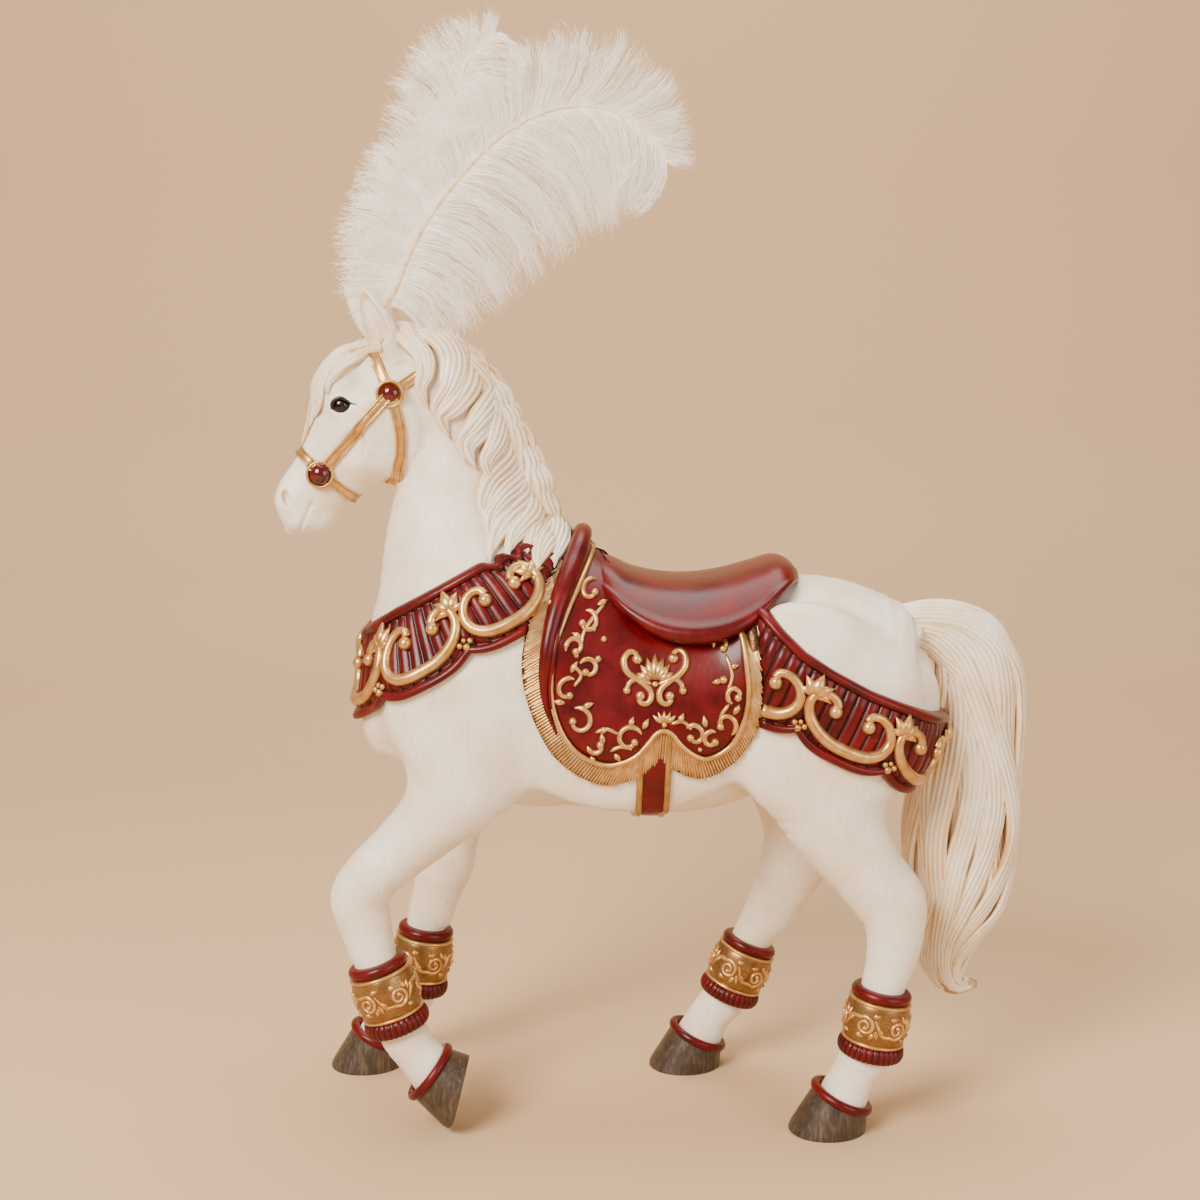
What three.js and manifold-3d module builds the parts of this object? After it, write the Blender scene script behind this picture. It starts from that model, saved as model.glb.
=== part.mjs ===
// A parade horse: a hand-painted resin casting of a walking horse in its tack, 41 cm to the ears, with four
// glass cabochons in the rosettes of its bridle and two ostrich plumes that stand in sockets at its poll.
// The horse faces -X, its left side is towards -Y, and the ground is z = 0. All sizes are in millimetres.
import * as THREE from "three";
import { mergeVertices } from "three/addons/utils/BufferGeometryUtils.js";
import Module from "manifold-3d";

const wasm = await Module();
wasm.setup();

// Driving dimensions
const BOX_CENTRE_X = 25.6; // middle of the figure's length, where the origin goes
const TACK_LIFT = 3.2; // the breast collar, breeching and saddle cloth stand this far off the body
const GIRTH_LIFT = 2.6;
const STRAP_LIFT = 1.3; // bridle straps
const EAR_STRAP_LIFT = 1.9; // of the strap that goes back from the upper rosette
const STRAP_WIDTH = 5;
const REACH = 75; // half the width of a prism that cuts the whole figure
const CLEARANCE = 0.3; // between separate pieces
const SOCKET_RADIUS = 1.9;
const SOCKET_DEPTH = 16;
const QUILL_RADIUS = 1.5;
const ROSETTE_RADIUS = 6.8;
const ROSETTE_HEIGHT = 3; // off the cheek
const ROSETTE_ROOT = 6; // and this far into it
const GEM_FLOOR = 1; // height of the floor that a cabochon is seated on
const GEM_RADIUS = 5.2;
const GEM_HEIGHT = 4.4;
const GEM_SIDES = 12;
const HOOF_LENGTH = 38;
const HOOF_WIDTH = 34;
const SOLE_EDGE = 1.6; // height of the sole's worn edge
const LEG_SIDES = 10;
const MANE_LOCKS = 6; // on each side of the neck
const LOCK_LENGTH = 38;

const IVORY = { color: 0xefe4d2, roughness: 0.45, metalness: 0 };
const RUBY = { color: 0x8c0d12, roughness: 0.12, metalness: 0 };
const DOWN = { color: 0xf3ece4, roughness: 0.9, metalness: 0 };

// Body sections: x, y and z of the centre, half depth in the side view, half width across
const TRUNK = [
  [-115.5, 0, 223, 8, 10],
  [-111, 0, 223, 27, 25],
  [-99, 0, 222, 43, 37],
  [-75, 0, 221, 56.5, 46],
  [-44, 0, 222, 65, 50.5],
  [-12, 0, 220, 66, 52],
  [18, 0, 214, 61, 53],
  [47, 0, 210, 57, 54],
  [76, 0, 215, 54.5, 54],
  [106, 0, 219, 53, 55],
  [133, 0, 216, 49, 50],
  [151, 0, 213, 40, 41],
  [163, 0, 213, 25, 27],
  [167, 0, 213, 8, 10],
];
const NECK = [
  [-55, 0, 235, 58, 46],
  [-63, 0, 266, 49, 39],
  [-68, 0, 292, 39.5, 30],
  [-70.5, 0, 318, 30.5, 22.5],
  [-73, 0, 345, 23, 17.5],
  [-81, 0, 368, 19, 15.5],
  [-91, 0, 381, 14, 13],
  [-97, 0, 387, 8, 8],
];

// The head is drawn along its own line, from the poll down to the muzzle
const POLL = new THREE.Vector2(-100, 375);
const FACE = new THREE.Vector2(-0.57, -0.822).normalize(); // along the head
const BROW = new THREE.Vector2(-FACE.y, FACE.x).multiplyScalar(-1); // from the jaw to the forehead
// distance along the head, forehead side, jaw side, half width
const HEAD = [
  [-4, 14, -12, 9],
  [2, 22, -22, 15],
  [12, 26, -29, 19],
  [24, 26, -34, 20.5],
  [36, 23, -33, 20.5],
  [46, 19.5, -27, 18],
  [58, 17, -21, 14.5],
  [68, 16, -17.5, 12.5],
  [78, 16, -15.5, 12.5],
  [86, 13.5, -15.5, 13],
  [92, 8, -11.5, 10],
  [96, 2, -6, 4],
];

// Each leg: sections from inside the trunk down to its cuff, the two ends of the cuff, sections of the
// pastern below it, and the foot, with the toe's place on the ground and the turn of the sole in degrees
const FORE_NEAR = {
  upper: [
    [-62, -28, 225, 34, 22],
    [-62, -32, 198, 32, 22],
    [-67, -35, 176, 26, 20],
    [-82, -38, 157, 18, 16],
    [-98, -40, 142, 15, 13.5],
    [-110, -41, 131, 14, 12.5],
    [-117, -41, 119, 14.5, 12.5],
    [-115, -41, 106, 13, 11],
    [-112, -41, 93, 11.5, 10],
  ],
  cuff: [[-110, 87], [-99, 52.5]],
  pastern: [
    [-96, -41, 48, 12.5, 11.5],
    [-90, -41, 39, 11.5, 11],
  ],
  foot: { side: -41, toe: [-74, -0.38], turn: 76 },
};
const FORE_FAR = {
  upper: [
    [-58, 28, 225, 34, 22],
    [-62, 32, 198, 31, 22],
    [-67, 35, 175, 25, 19],
    [-74, 38, 152, 19, 16],
    [-80, 40, 130, 16, 13.5],
    [-83, 41, 112, 15.5, 13],
    [-87, 41, 98, 13, 11],
    [-91, 41, 84, 12, 10.5],
  ],
  cuff: [[-93, 78], [-99, 42]],
  pastern: [
    [-104, 41, 37, 12, 11.5],
    [-111, 41, 28, 11.5, 11],
  ],
  foot: { side: 41, toe: [-146, 0], turn: 0 },
};
const HIND_NEAR = {
  upper: [
    [118, -28, 225, 46, 24],
    [114, -31, 198, 45, 25],
    [112, -33, 178, 37, 23],
    [113, -35, 162, 27, 20],
    [120, -37, 147, 21.5, 17],
    [131, -39, 131, 18, 15],
    [142, -40, 116, 17.5, 13],
    [144.5, -41, 103, 14.5, 12],
    [143, -41, 88, 12.5, 10.5],
  ],
  cuff: [[139, 73], [133, 39]],
  pastern: [
    [129.5, -41, 35.5, 12, 11.5],
    [125.5, -41, 28.5, 11.5, 11],
  ],
  foot: { side: -41, toe: [93, 0], turn: 0 },
};
const HIND_FAR = {
  upper: [
    [112, 28, 225, 46, 24],
    [108, 31, 198, 44, 25],
    [105, 33, 178, 34, 23],
    [104, 35, 160, 27, 19],
    [106, 37, 143, 22, 17],
    [107, 39, 127, 20, 15],
    [103, 40, 112, 18, 13],
    [97, 41, 98, 15, 12],
    [89, 41, 83, 13, 11],
  ],
  cuff: [[81, 70], [68.5, 38.5]],
  pastern: [
    [64.5, 41, 34, 12, 11.5],
    [59, 41, 27, 11.5, 11],
  ],
  foot: { side: 41, toe: [26, 0], turn: 0 },
};
const LEGS = [FORE_NEAR, FORE_FAR, HIND_NEAR, HIND_FAR];
const TAIL = [
  [144, 0, 246, 11, 11],
  [160, 0, 247, 13, 13],
  [175, 0, 243, 17, 15],
  [187, 0, 233, 21, 17],
  [190, 0, 215, 24, 18],
  [188, 0, 195, 27, 19],
  [186, 0, 172, 29, 20],
  [184, 0, 148, 31, 20],
  [183, 0, 126, 30, 19],
  [182, 0, 106, 26, 18],
  [178, 0, 89, 20, 16],
  [177, 0, 73, 15, 12],
  [182, 0, 61, 9, 9],
  [194, 0, 60, 2.5, 3],
];
const TAIL_SIDES = 10;
const TAIL_RIDGE = 1.05; // how far the locks stand out of the tail's outline, and the grooves in
const TAIL_GROOVE = 0.9;

// Cuff profile: share of its length from the top, and radius
const CUFF = [
  [0, 12.2],
  [0.02, 14.8],
  [0.16, 14.8],
  [0.2, 13.4],
  [0.5, 15.7],
  [0.76, 13.8],
  [0.97, 16.5],
  [1, 13],
];
// The hoof in its own frame, from the toe on the ground: the top edge of its wall at the front and the rear
const HOOF_TOP = { front: [13, 22], rear: [39.5, 10] };
// The coronet band round that edge: height along the band's own axis, and radius
const CORONET = [
  [2.6, 13],
  [0, 16.6],
  [-2.4, 14.8],
];

// Outlines in the side view, x and z. The cloth's is the outer edge of its fringe.
const CLOTH = [
  [-15, 300], [-22, 280], [-32, 262], [-36.5, 245], [-37, 227], [-33, 212], [-25, 196], [-14, 184.6],
  [3.8, 177.8], [20, 183], [28.5, 191], [38, 183.7], [47.2, 180.7], [56, 182.7], [66, 190], [75, 205],
  [77.5, 227], [75.5, 247], [72, 262], [72, 300],
];
const COLLAR = [
  [-130, 247], [-114, 247.5], [-100, 256.5], [-86, 266.5], [-73, 274.3], [-58, 283], [-44, 290],
  [-40, 284], [-34, 289], [-28, 283], [-24, 274], [-28, 258], [-36, 249], [-45, 245.5], [-56, 243.5],
  [-65, 240.5], [-70, 233.5], [-78, 228], [-88, 225], [-98, 222], [-103, 216], [-109, 208], [-130, 204],
];
const BREECHING = [
  [66, 272], [79.5, 263], [88.6, 252], [99.6, 242], [112, 233.8], [126, 225.6], [140, 219], [154, 213.5],
  [180, 208], [180, 177], [161, 177], [152, 178.8], [144, 184], [134, 185], [125, 185], [116, 186.6],
  [107, 191], [101, 197], [96, 204], [84, 207.4], [70, 212],
];
const GIRTH = [[15.5, 196], [13, 140], [31, 140], [34, 196]];
const NECK_AND_TRUNK_SIDES = 14;
const HEAD_SIDES = 12;

// The seat of the saddle: x, height of the ridge, height of the lower edge, half width
const SEAT = [
  [-4, 277, 273, 15],
  [-1, 283, 270.5, 29],
  [6, 281, 264.5, 41],
  [16, 276.5, 256.5, 48],
  [30, 273.5, 249.5, 52.5],
  [46, 273, 247.3, 54.5],
  [62, 275.5, 250, 53],
  [76, 279.5, 257.5, 48],
  [86, 282.3, 267, 41],
  [93, 280.5, 274, 31],
  [97, 275.5, 272.5, 16],
];
const SEAT_SIDES = 12;
const SEAT_ROLL = 6; // thickness of the rounded edge below the seat's widest line

// A C scroll of the collar and breeching, right half from its foot to the curled end, as shares of the
// space that it fills, across that space in millimetres, and its radius
const SCROLL = [
  [0, -9.4, 2.6],
  [0.3, -6.6, 2.4],
  [0.44, 1, 2.1],
  [0.34, 8, 1.9],
  [0.16, 6, 2.3],
];
const SCROLL_SIDES = 4;
const PETAL_LENGTH = 9;
const PETAL_FOOT = 9; // from the line that the scrolls are laid out on

// Bands that carry the scrolls: centre and direction of the ring that they lie in, seen from the side,
// the distance from one scroll to the next, and how many there are
const COLLAR_RING = { centre: [-62, 257], towards: [-0.875, -0.485], pitch: 39, units: 6 };
const BREECHING_RING = { centre: [110, 209.7], towards: [0.9, -0.434], pitch: 45, units: 4 };
const RING_END = 2.6; // radians that a ring is followed to each side, and in how many steps
const RING_STEPS = 60;

// Plumes: x, z of the quill, vane width above it and below it
const PLUME_FRONT = [
  [-102.5, 406, 3.5, 3.5],
  [-97, 417, 22, 20],
  [-90, 433, 31, 30],
  [-81, 448, 32, 34],
  [-70, 462, 30, 38],
  [-56, 477, 28, 42],
  [-42, 488, 28, 44],
  [-25, 496, 29, 43],
  [-6.5, 498.5, 28, 40],
  [11, 494, 24, 37],
  [25, 484, 18, 30],
  [32, 473, 10, 18],
  [36, 465, 2, 3],
];
const PLUME_BACK = [
  [-101, 405, 3.5, 3.5],
  [-99.5, 417, 26, 12],
  [-96, 434, 29, 17],
  [-90, 451, 28, 21],
  [-84, 467, 26, 23],
  [-78, 482, 25, 25],
  [-74, 495, 23, 26],
  [-69.5, 509, 20, 27],
  [-64, 522, 16, 25],
  [-57, 532, 13, 20],
  [-51, 539, 7, 11],
  [-46.5, 543, 1.5, 2],
];
const PLUME_THICKNESS = 8; // half of it
const PLUME_SIDES = 6;
const PLUME_SETBACK = { front: -8.3, back: 8.3 }; // the two vanes lie side by side
const BARB_NOTCH = 0.09; // share by which the vane's edge rises and falls between tufts

// Meshes and solids

function flipped(index) {
  const turned = index.slice();
  for (let i = 0; i < turned.length; i += 3) [turned[i + 1], turned[i + 2]] = [turned[i + 2], turned[i + 1]];
  return turned;
}

function signedVolume(points, index) {
  let sum = 0;
  for (let i = 0; i < index.length; i += 3) {
    const [a, b, c] = [points[index[i]], points[index[i + 1]], points[index[i + 2]]];
    sum += a.dot(b.clone().cross(c)) / 6;
  }
  return sum;
}

// A closed skin through rings of points, with a fan at each end.
function loft(rings) {
  const sides = rings[0].length;
  const points = rings.flat();
  const index = [];
  for (let r = 0; r + 1 < rings.length; r++)
    for (let s = 0; s < sides; s++) {
      const a = r * sides + s;
      const b = r * sides + ((s + 1) % sides);
      index.push(a, b, b + sides, a, b + sides, a + sides);
    }
  for (const [ring, first, turn] of [[rings[0], 0, 1], [rings.at(-1), (rings.length - 1) * sides, 0]]) {
    const middle = ring.reduce((sum, p) => sum.add(p), new THREE.Vector3()).divideScalar(sides);
    const centre = points.push(middle) - 1;
    for (let s = 0; s < sides; s++) {
      const [a, b] = [first + s, first + ((s + 1) % sides)];
      index.push(centre, turn ? b : a, turn ? a : b);
    }
  }
  const outward = signedVolume(points, index) < 0 ? flipped(index) : index;
  return new THREE.BufferGeometry().setFromPoints(points).setIndex(outward);
}

function solid(geometry) {
  const bare = geometry.index ? geometry.toNonIndexed() : geometry.clone();
  bare.deleteAttribute("normal");
  bare.deleteAttribute("uv");
  const merged = mergeVertices(bare, 1e-3);
  return new wasm.Manifold(
    new wasm.Mesh({
      numProp: 3,
      vertProperties: merged.attributes.position.array,
      triVerts: new Uint32Array(merged.index.array),
    }),
  );
}

function geometryOf(made) {
  const { numProp: stride, numVert, vertProperties: values, triVerts } = made.getMesh();
  const positions = new Float32Array(numVert * 3);
  for (let i = 0; i < numVert; i++) positions.set(values.subarray(i * stride, i * stride + 3), i * 3);
  const geometry = new THREE.BufferGeometry()
    .setAttribute("position", new THREE.BufferAttribute(positions, 3))
    .setIndex(new THREE.BufferAttribute(triVerts, 1));
  geometry.computeVertexNormals();
  return geometry;
}

const join = (solids) => solids.reduce((whole, piece) => whole.add(piece));

// An oval ring: its middle, the direction in the side view of its half depth, and its half width across.
function ring([x, y, z], out, depth, width, sides) {
  return Array.from({ length: sides }, (_, s) => {
    const angle = (s / sides) * 2 * Math.PI;
    const along = depth * Math.cos(angle);
    return new THREE.Vector3(x + out.x * along, y + width * Math.sin(angle), z + out.y * along);
  });
}

// Sections of a limb, in planes square to its line, each an oval with the row's half depth and half width.
function sections(rows, sides, swell = 0) {
  return rows.map(([x, y, z, depth, width], i) => {
    const before = rows[Math.max(i - 1, 0)];
    const after = rows[Math.min(i + 1, rows.length - 1)];
    const out = new THREE.Vector2(before[2] - after[2], after[0] - before[0]).normalize();
    return ring([x, y, z], out, depth + swell, width + swell, sides);
  });
}

// The same limb with its ends pushed out by the swell, so that it is thicker all over.
function swollen(rows, swell) {
  const push = (end, inner) => {
    const along = new THREE.Vector2(end[0] - inner[0], end[2] - inner[2]).setLength(swell);
    return [end[0] + along.x, end[1], end[2] + along.y, end[3], end[4]];
  };
  return [push(rows[0], rows[1]), ...rows.slice(1, -1), push(rows.at(-1), rows.at(-2))];
}

const limb = (rows, sides, swell = 0) =>
  solid(loft(sections(swell ? swollen(rows, swell) : rows, sides, swell)));

// A tube through points in space, with a radius at each.
function tube(path, radii, sides) {
  const curve = new THREE.CatmullRomCurve3(path);
  const { normals, binormals } = curve.computeFrenetFrames(path.length - 1);
  const rings = path.map((p, i) =>
    Array.from({ length: sides }, (_, s) => {
      const angle = (s / sides) * 2 * Math.PI;
      return p
        .clone()
        .addScaledVector(normals[i], radii[i] * Math.cos(angle))
        .addScaledVector(binormals[i], radii[i] * Math.sin(angle));
    }),
  );
  return solid(loft(rings));
}

// A prism right through the figure, whose outline is given in the side view.
function prism(outline) {
  const shape = new THREE.Shape(outline.map(([x, z]) => new THREE.Vector2(x, z)));
  const geometry = new THREE.ExtrudeGeometry(shape, { depth: 2 * REACH, bevelEnabled: false, steps: 1 });
  return solid(geometry.rotateX(Math.PI / 2).translate(0, REACH, 0));
}

// A turned solid whose axis runs from a point along a direction.
function turned(profile, at, along, sides) {
  const geometry = new THREE.LatheGeometry(profile.map(([r, h]) => new THREE.Vector2(r, h)), sides);
  const turn = new THREE.Quaternion().setFromUnitVectors(new THREE.Vector3(0, 1, 0), along);
  return geometry.applyQuaternion(turn).translate(at.x, at.y, at.z);
}

// The bare animal

const headPoint = (s, w) => POLL.clone().addScaledVector(FACE, s).addScaledVector(BROW, w);

const HEAD_ROWS = HEAD.map(([s, front, back, width]) => {
  const middle = headPoint(s, (front + back) / 2);
  return [middle.x, 0, middle.y, (front - back) / 2, width];
});

const body = (swell = 0) =>
  join([limb(TRUNK, NECK_AND_TRUNK_SIDES, swell), limb(NECK, NECK_AND_TRUNK_SIDES, swell)]);
const head = (swell = 0) => limb(HEAD_ROWS, HEAD_SIDES, swell);

// What the tack's ornaments are laid on, found by rays from outside.
const skin = new THREE.Mesh(geometryOf(body(TACK_LIFT)), new THREE.MeshBasicMaterial());
const faceSkin = new THREE.Mesh(geometryOf(join([head(), body()])), new THREE.MeshBasicMaterial());
const ray = new THREE.Raycaster();

function touch(surface, from, direction) {
  ray.set(from, direction);
  const [hit] = ray.intersectObject(surface);
  return hit ? hit.point : from.clone().addScaledVector(direction, REACH);
}

const onSide = (surface, x, z, side) =>
  touch(surface, new THREE.Vector3(x, side * 2 * REACH, z), new THREE.Vector3(0, -side, 0));

function ear(side) {
  const base = new THREE.Vector3(-103, side * 9.5, 386);
  const tip = new THREE.Vector3(-117, side * 12, 414);
  const widths = [7.5, 8.5, 8, 5.5, 0.8];
  const rings = widths.map((width, i) => {
    const share = i / (widths.length - 1);
    const middle = base.clone().lerp(tip, share - 0.12);
    return [[-1, 0.1], [-0.45, -0.1], [0.45, -0.1], [1, 0.1], [0.6, 0.75], [-0.6, 0.75]].map(
      ([across, deep]) =>
        new THREE.Vector3(
          middle.x + width * (0.75 * across + 0.35 * deep),
          middle.y - side * width * (0.25 * across - 0.62 * deep),
          middle.z + width * 0.42 * across,
        ),
    );
  });
  return solid(loft(rings));
}

function eye(side) {
  const middle = headPoint(29, 10.5);
  const bulge = new THREE.SphereGeometry(4.6, 8, 4).scale(1, 0.55, 0.8);
  return solid(bulge.translate(middle.x, side * 17.6, middle.y));
}

// Hair: tapered locks that lie on the crest and the side of the neck, and a mass along the crest under them

const CREST_LINE = [
  [-112, 391], [-97, 391], [-81, 386], [-65, 373], [-54, 353], [-46, 334], [-37, 314], [-28, 297], [-20, 286],
];
const CREST = new THREE.CatmullRomCurve3(CREST_LINE.map(([x, z]) => new THREE.Vector3(x, 0, z)));
const CREST_STEPS = 9;

function crestMass() {
  const path = CREST.getPoints(CREST_STEPS);
  return tube(path, path.map((_, i) => (i % CREST_STEPS ? 8 : 4)), 6);
}

// A lock starts at the crest and falls down the side of the neck with an S bend.
function maneLock(start, side, length) {
  const root = CREST.getPointAt(start);
  const path = [0, 0.25, 0.55, 0.8, 1].map((share) => {
    const x = root.x - 3 - 0.42 * length * share + 3.5 * Math.sin(share * 5.5 + start * 9);
    const z = root.z + 1 - length * share * (0.5 + 0.5 * share);
    const bed = share ? onSide(faceSkin, x, z, side).y : side * 4;
    return new THREE.Vector3(x, bed + side * 1.2, z);
  });
  return tube(path, [4.5, 7, 7, 5, 0.8], 4);
}

function mane() {
  const starts = Array.from({ length: MANE_LOCKS }, (_, i) => 0.15 + (0.8 * i) / (MANE_LOCKS - 1));
  const lengths = starts.map((_, i) => LOCK_LENGTH + (i % 2 ? 5 : 0));
  return [-1, 1].flatMap((side) => starts.map((start, i) => maneLock(start, side, lengths[i])));
}

function forelock() {
  return [-7, 0, 7].map((y) => {
    const path = [[0, 24], [10, 29.5], [24, 30], [40, 24], [50, 21]].map(([s, w], i) => {
      const at = headPoint(s, w - 2 - Math.abs(y) * 0.35);
      return new THREE.Vector3(at.x, y * (1 + 0.07 * i), at.y);
    });
    return tube(path, [4, 5.5, 5.5, 4, 0.8], 4);
  });
}

// The tail's locks run its length as ridges, winding a little as they fall.
function tail() {
  const rings = sections(TAIL, TAIL_SIDES).map((ring, i) => {
    const middle = new THREE.Vector3(...TAIL[i]);
    return ring.map((p, s) => middle.clone().lerp(p, s % 2 ? TAIL_RIDGE : TAIL_GROOVE));
  });
  return solid(loft(rings));
}

// Legs, each one skin from the trunk over its cuff and coronet band to the sole

function cuffRings({ cuff: [top, bottom], foot: { side } }) {
  const line = new THREE.Vector2(bottom[0] - top[0], bottom[1] - top[1]);
  const out = new THREE.Vector2(-line.y, line.x).normalize();
  return CUFF.map(([share, radius]) => {
    const middle = [top[0] + line.x * share, side, top[1] + line.y * share];
    return ring(middle, out, radius, radius, LEG_SIDES);
  });
}

function footRings({ side, toe, turn }) {
  const angle = THREE.MathUtils.degToRad(turn);
  const origin = new THREE.Vector2();
  const tilted = (x, z) => new THREE.Vector2(x, z).rotateAround(origin, angle);
  const placed = (x, z) => [tilted(x, z).x + toe[0], side, tilted(x, z).y + toe[1]];
  const front = new THREE.Vector2(...HOOF_TOP.front);
  const edge = new THREE.Vector2(...HOOF_TOP.rear).sub(front);
  const middle = front.clone().addScaledVector(edge, 0.5);
  const along = edge.clone().normalize();
  const half = HOOF_LENGTH / 2;
  return [
    ...CORONET.map(([height, radius]) => {
      const at = placed(middle.x - along.y * height, middle.y + along.x * height);
      return ring(at, tilted(along.x, along.y), radius, radius, LEG_SIDES);
    }),
    ring(placed(half, SOLE_EDGE), tilted(1, 0), half, HOOF_WIDTH / 2, LEG_SIDES),
    ring(placed(half, 0), tilted(1, 0), half - SOLE_EDGE / 2, HOOF_WIDTH / 2 - SOLE_EDGE / 2, LEG_SIDES),
  ];
}

function leg(row) {
  const rings = [
    ...sections(row.upper, LEG_SIDES),
    ...cuffRings(row),
    ...sections(row.pastern, LEG_SIDES),
    ...footRings(row.foot),
  ];
  return solid(loft(rings));
}

// Tack

const band = (outline, lift) => body(lift).intersect(prism(outline));

function seat() {
  const rings = SEAT.map(([x, ridge, edge, width]) =>
    Array.from({ length: SEAT_SIDES }, (_, s) => {
      const angle = (s / SEAT_SIDES) * 2 * Math.PI;
      const up = Math.sin(angle);
      const across = Math.sign(Math.cos(angle)) * Math.abs(Math.cos(angle)) ** 0.8;
      const middle = edge + SEAT_ROLL / 2;
      const height = up > 0 ? (ridge - middle) * up ** 0.9 : (SEAT_ROLL / 2) * up;
      return new THREE.Vector3(x, width * across, middle + height);
    }),
  );
  return solid(loft(rings));
}

// The padded roll along the cloth's front edge, over the withers from side to side.
function pommelRoll() {
  const rows = [[-24, 213, 2], [-26.5, 234, 3.4], [-22, 257, 4.2], [-14, 279, 5]];
  const near = rows.map(([x, z]) => onSide(skin, x, z, -1));
  const far = near.map((p) => new THREE.Vector3(p.x, -p.y, p.z)).reverse();
  const path = [...near, new THREE.Vector3(-9, 0, 288), ...far];
  const radii = rows.map((row) => row[2]);
  return tube(path, [...radii, 5.4, ...radii.slice().reverse()], 6);
}

// Points on a band's face: distance along it from the middle of the horse, and height on the band.
function bandFace({ centre, towards }) {
  const ahead = new THREE.Vector3(towards[0], 0, towards[1]);
  const up = new THREE.Vector3(-towards[1], 0, towards[0]).multiplyScalar(Math.sign(towards[0]));
  const hub = new THREE.Vector3(centre[0], 0, centre[1]);
  const at = (angle, height) => {
    const out = ahead.clone().multiplyScalar(Math.cos(angle)).add(new THREE.Vector3(0, -Math.sin(angle), 0));
    const from = hub.clone().addScaledVector(up, height).addScaledVector(out, 2 * REACH);
    return touch(skin, from, out.negate());
  };
  const turns = Array.from({ length: RING_STEPS + 1 }, (_, i) => (i / RING_STEPS) * RING_END);
  const lengths = [0];
  turns.slice(1).forEach((turn, i) => lengths.push(lengths[i] + at(turn, 0).distanceTo(at(turns[i], 0))));
  return (along, height) => {
    const distance = Math.abs(along);
    const i = Math.max(1, lengths.findIndex((length) => length >= distance));
    const share = (distance - lengths[i - 1]) / (lengths[i] - lengths[i - 1]);
    return at(Math.sign(along) * (turns[i - 1] + share * (turns[i] - turns[i - 1])), height);
  };
}

function scroll(face, middle, pitch) {
  const whole = [...SCROLL.slice(1).reverse().map(([a, v, r]) => [-a, v, r]), ...SCROLL];
  const path = whole.map(([share, across]) => face(middle + share * pitch, across));
  return tube(path, whole.map((row) => row[2]), SCROLL_SIDES);
}

// Three petals that open between two scrolls.
function fleur(face, middle) {
  return [-0.7, 0, 0.7].map((lean) => {
    const reach = [0, 0.6, 1].map((share) => share * PETAL_LENGTH);
    const path = reach.map((d) => face(middle + d * Math.sin(lean), PETAL_FOOT + d * Math.cos(lean)));
    return tube(path, [0.6, 2.2, 0.5], 3);
  });
}

function scrollwork(ring) {
  const { pitch, units } = ring;
  const face = bandFace(ring);
  const places = Array.from({ length: units }, (_, i) => (i - (units - 1) / 2) * pitch);
  const cusps = places.slice(1).map((middle) => middle - pitch / 2);
  return [
    ...places.map((middle) => scroll(face, middle, pitch)),
    ...cusps.flatMap((middle) => fleur(face, middle)),
  ];
}

// The outline of a strap along points of the side view.
function strap(points) {
  const edge = (side) =>
    points.map(([x, z], i) => {
      const [before, after] = [points[Math.max(i - 1, 0)], points[Math.min(i + 1, points.length - 1)]];
      const out = new THREE.Vector2(before[1] - after[1], after[0] - before[0]).setLength(STRAP_WIDTH / 2);
      return [x + side * out.x, z + side * out.y];
    });
  return prism([...edge(1), ...edge(-1).reverse()]);
}

const UPPER_ROSETTE = [-101, 362.7];
const LOWER_ROSETTE = [-136.4, 323.5];

function bridle() {
  const face = head(STRAP_LIFT);
  const straps = [
    [UPPER_ROSETTE, LOWER_ROSETTE],
    [[-152, 339], LOWER_ROSETTE, [-115, 305]],
    [[-114, 390], UPPER_ROSETTE],
    [UPPER_ROSETTE, [-96.5, 343], [-99, 312]],
  ];
  const behindEar = body(EAR_STRAP_LIFT).intersect(strap([UPPER_ROSETTE, [-85, 373.5]]));
  return [...straps.map((points) => face.intersect(strap(points))), behindEar];
}

// A rosette faces sideways, square to the cheek it sits on, with a seat for its cabochon.
function rosettes() {
  return [UPPER_ROSETTE, LOWER_ROSETTE].flatMap(([x, z]) =>
    [-1, 1].map((side) => ({ at: onSide(faceSkin, x, z, side), out: new THREE.Vector3(0, side, 0) })),
  );
}

// A disc about a rosette's axis, between two heights over the cheek.
const disc = ({ at, out }, radius, low, high) =>
  solid(turned([[0, low], [radius, low], [radius, high], [0, high]], at, out, GEM_SIDES));

const bezel = (place) => disc(place, ROSETTE_RADIUS, -ROSETTE_ROOT, ROSETTE_HEIGHT);
const gemSeat = (place) => disc(place, GEM_RADIUS + CLEARANCE, GEM_FLOOR, ROSETTE_HEIGHT + 3 * GEM_HEIGHT);

function cabochon({ at, out }) {
  const profile = [[0, 0], [GEM_RADIUS, 0], [GEM_RADIUS * 0.8, GEM_HEIGHT * 0.6], [0, GEM_HEIGHT]];
  return turned(profile, at.clone().addScaledVector(out, GEM_FLOOR + CLEARANCE), out, GEM_SIDES);
}

// Plumes

const PLUMES = {
  front: { rows: PLUME_FRONT, foot: [-97, -3.2], setback: PLUME_SETBACK.front },
  back: { rows: PLUME_BACK, foot: [-94.5, 3.2], setback: PLUME_SETBACK.back },
};
const POLL_TOP = 390;

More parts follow.
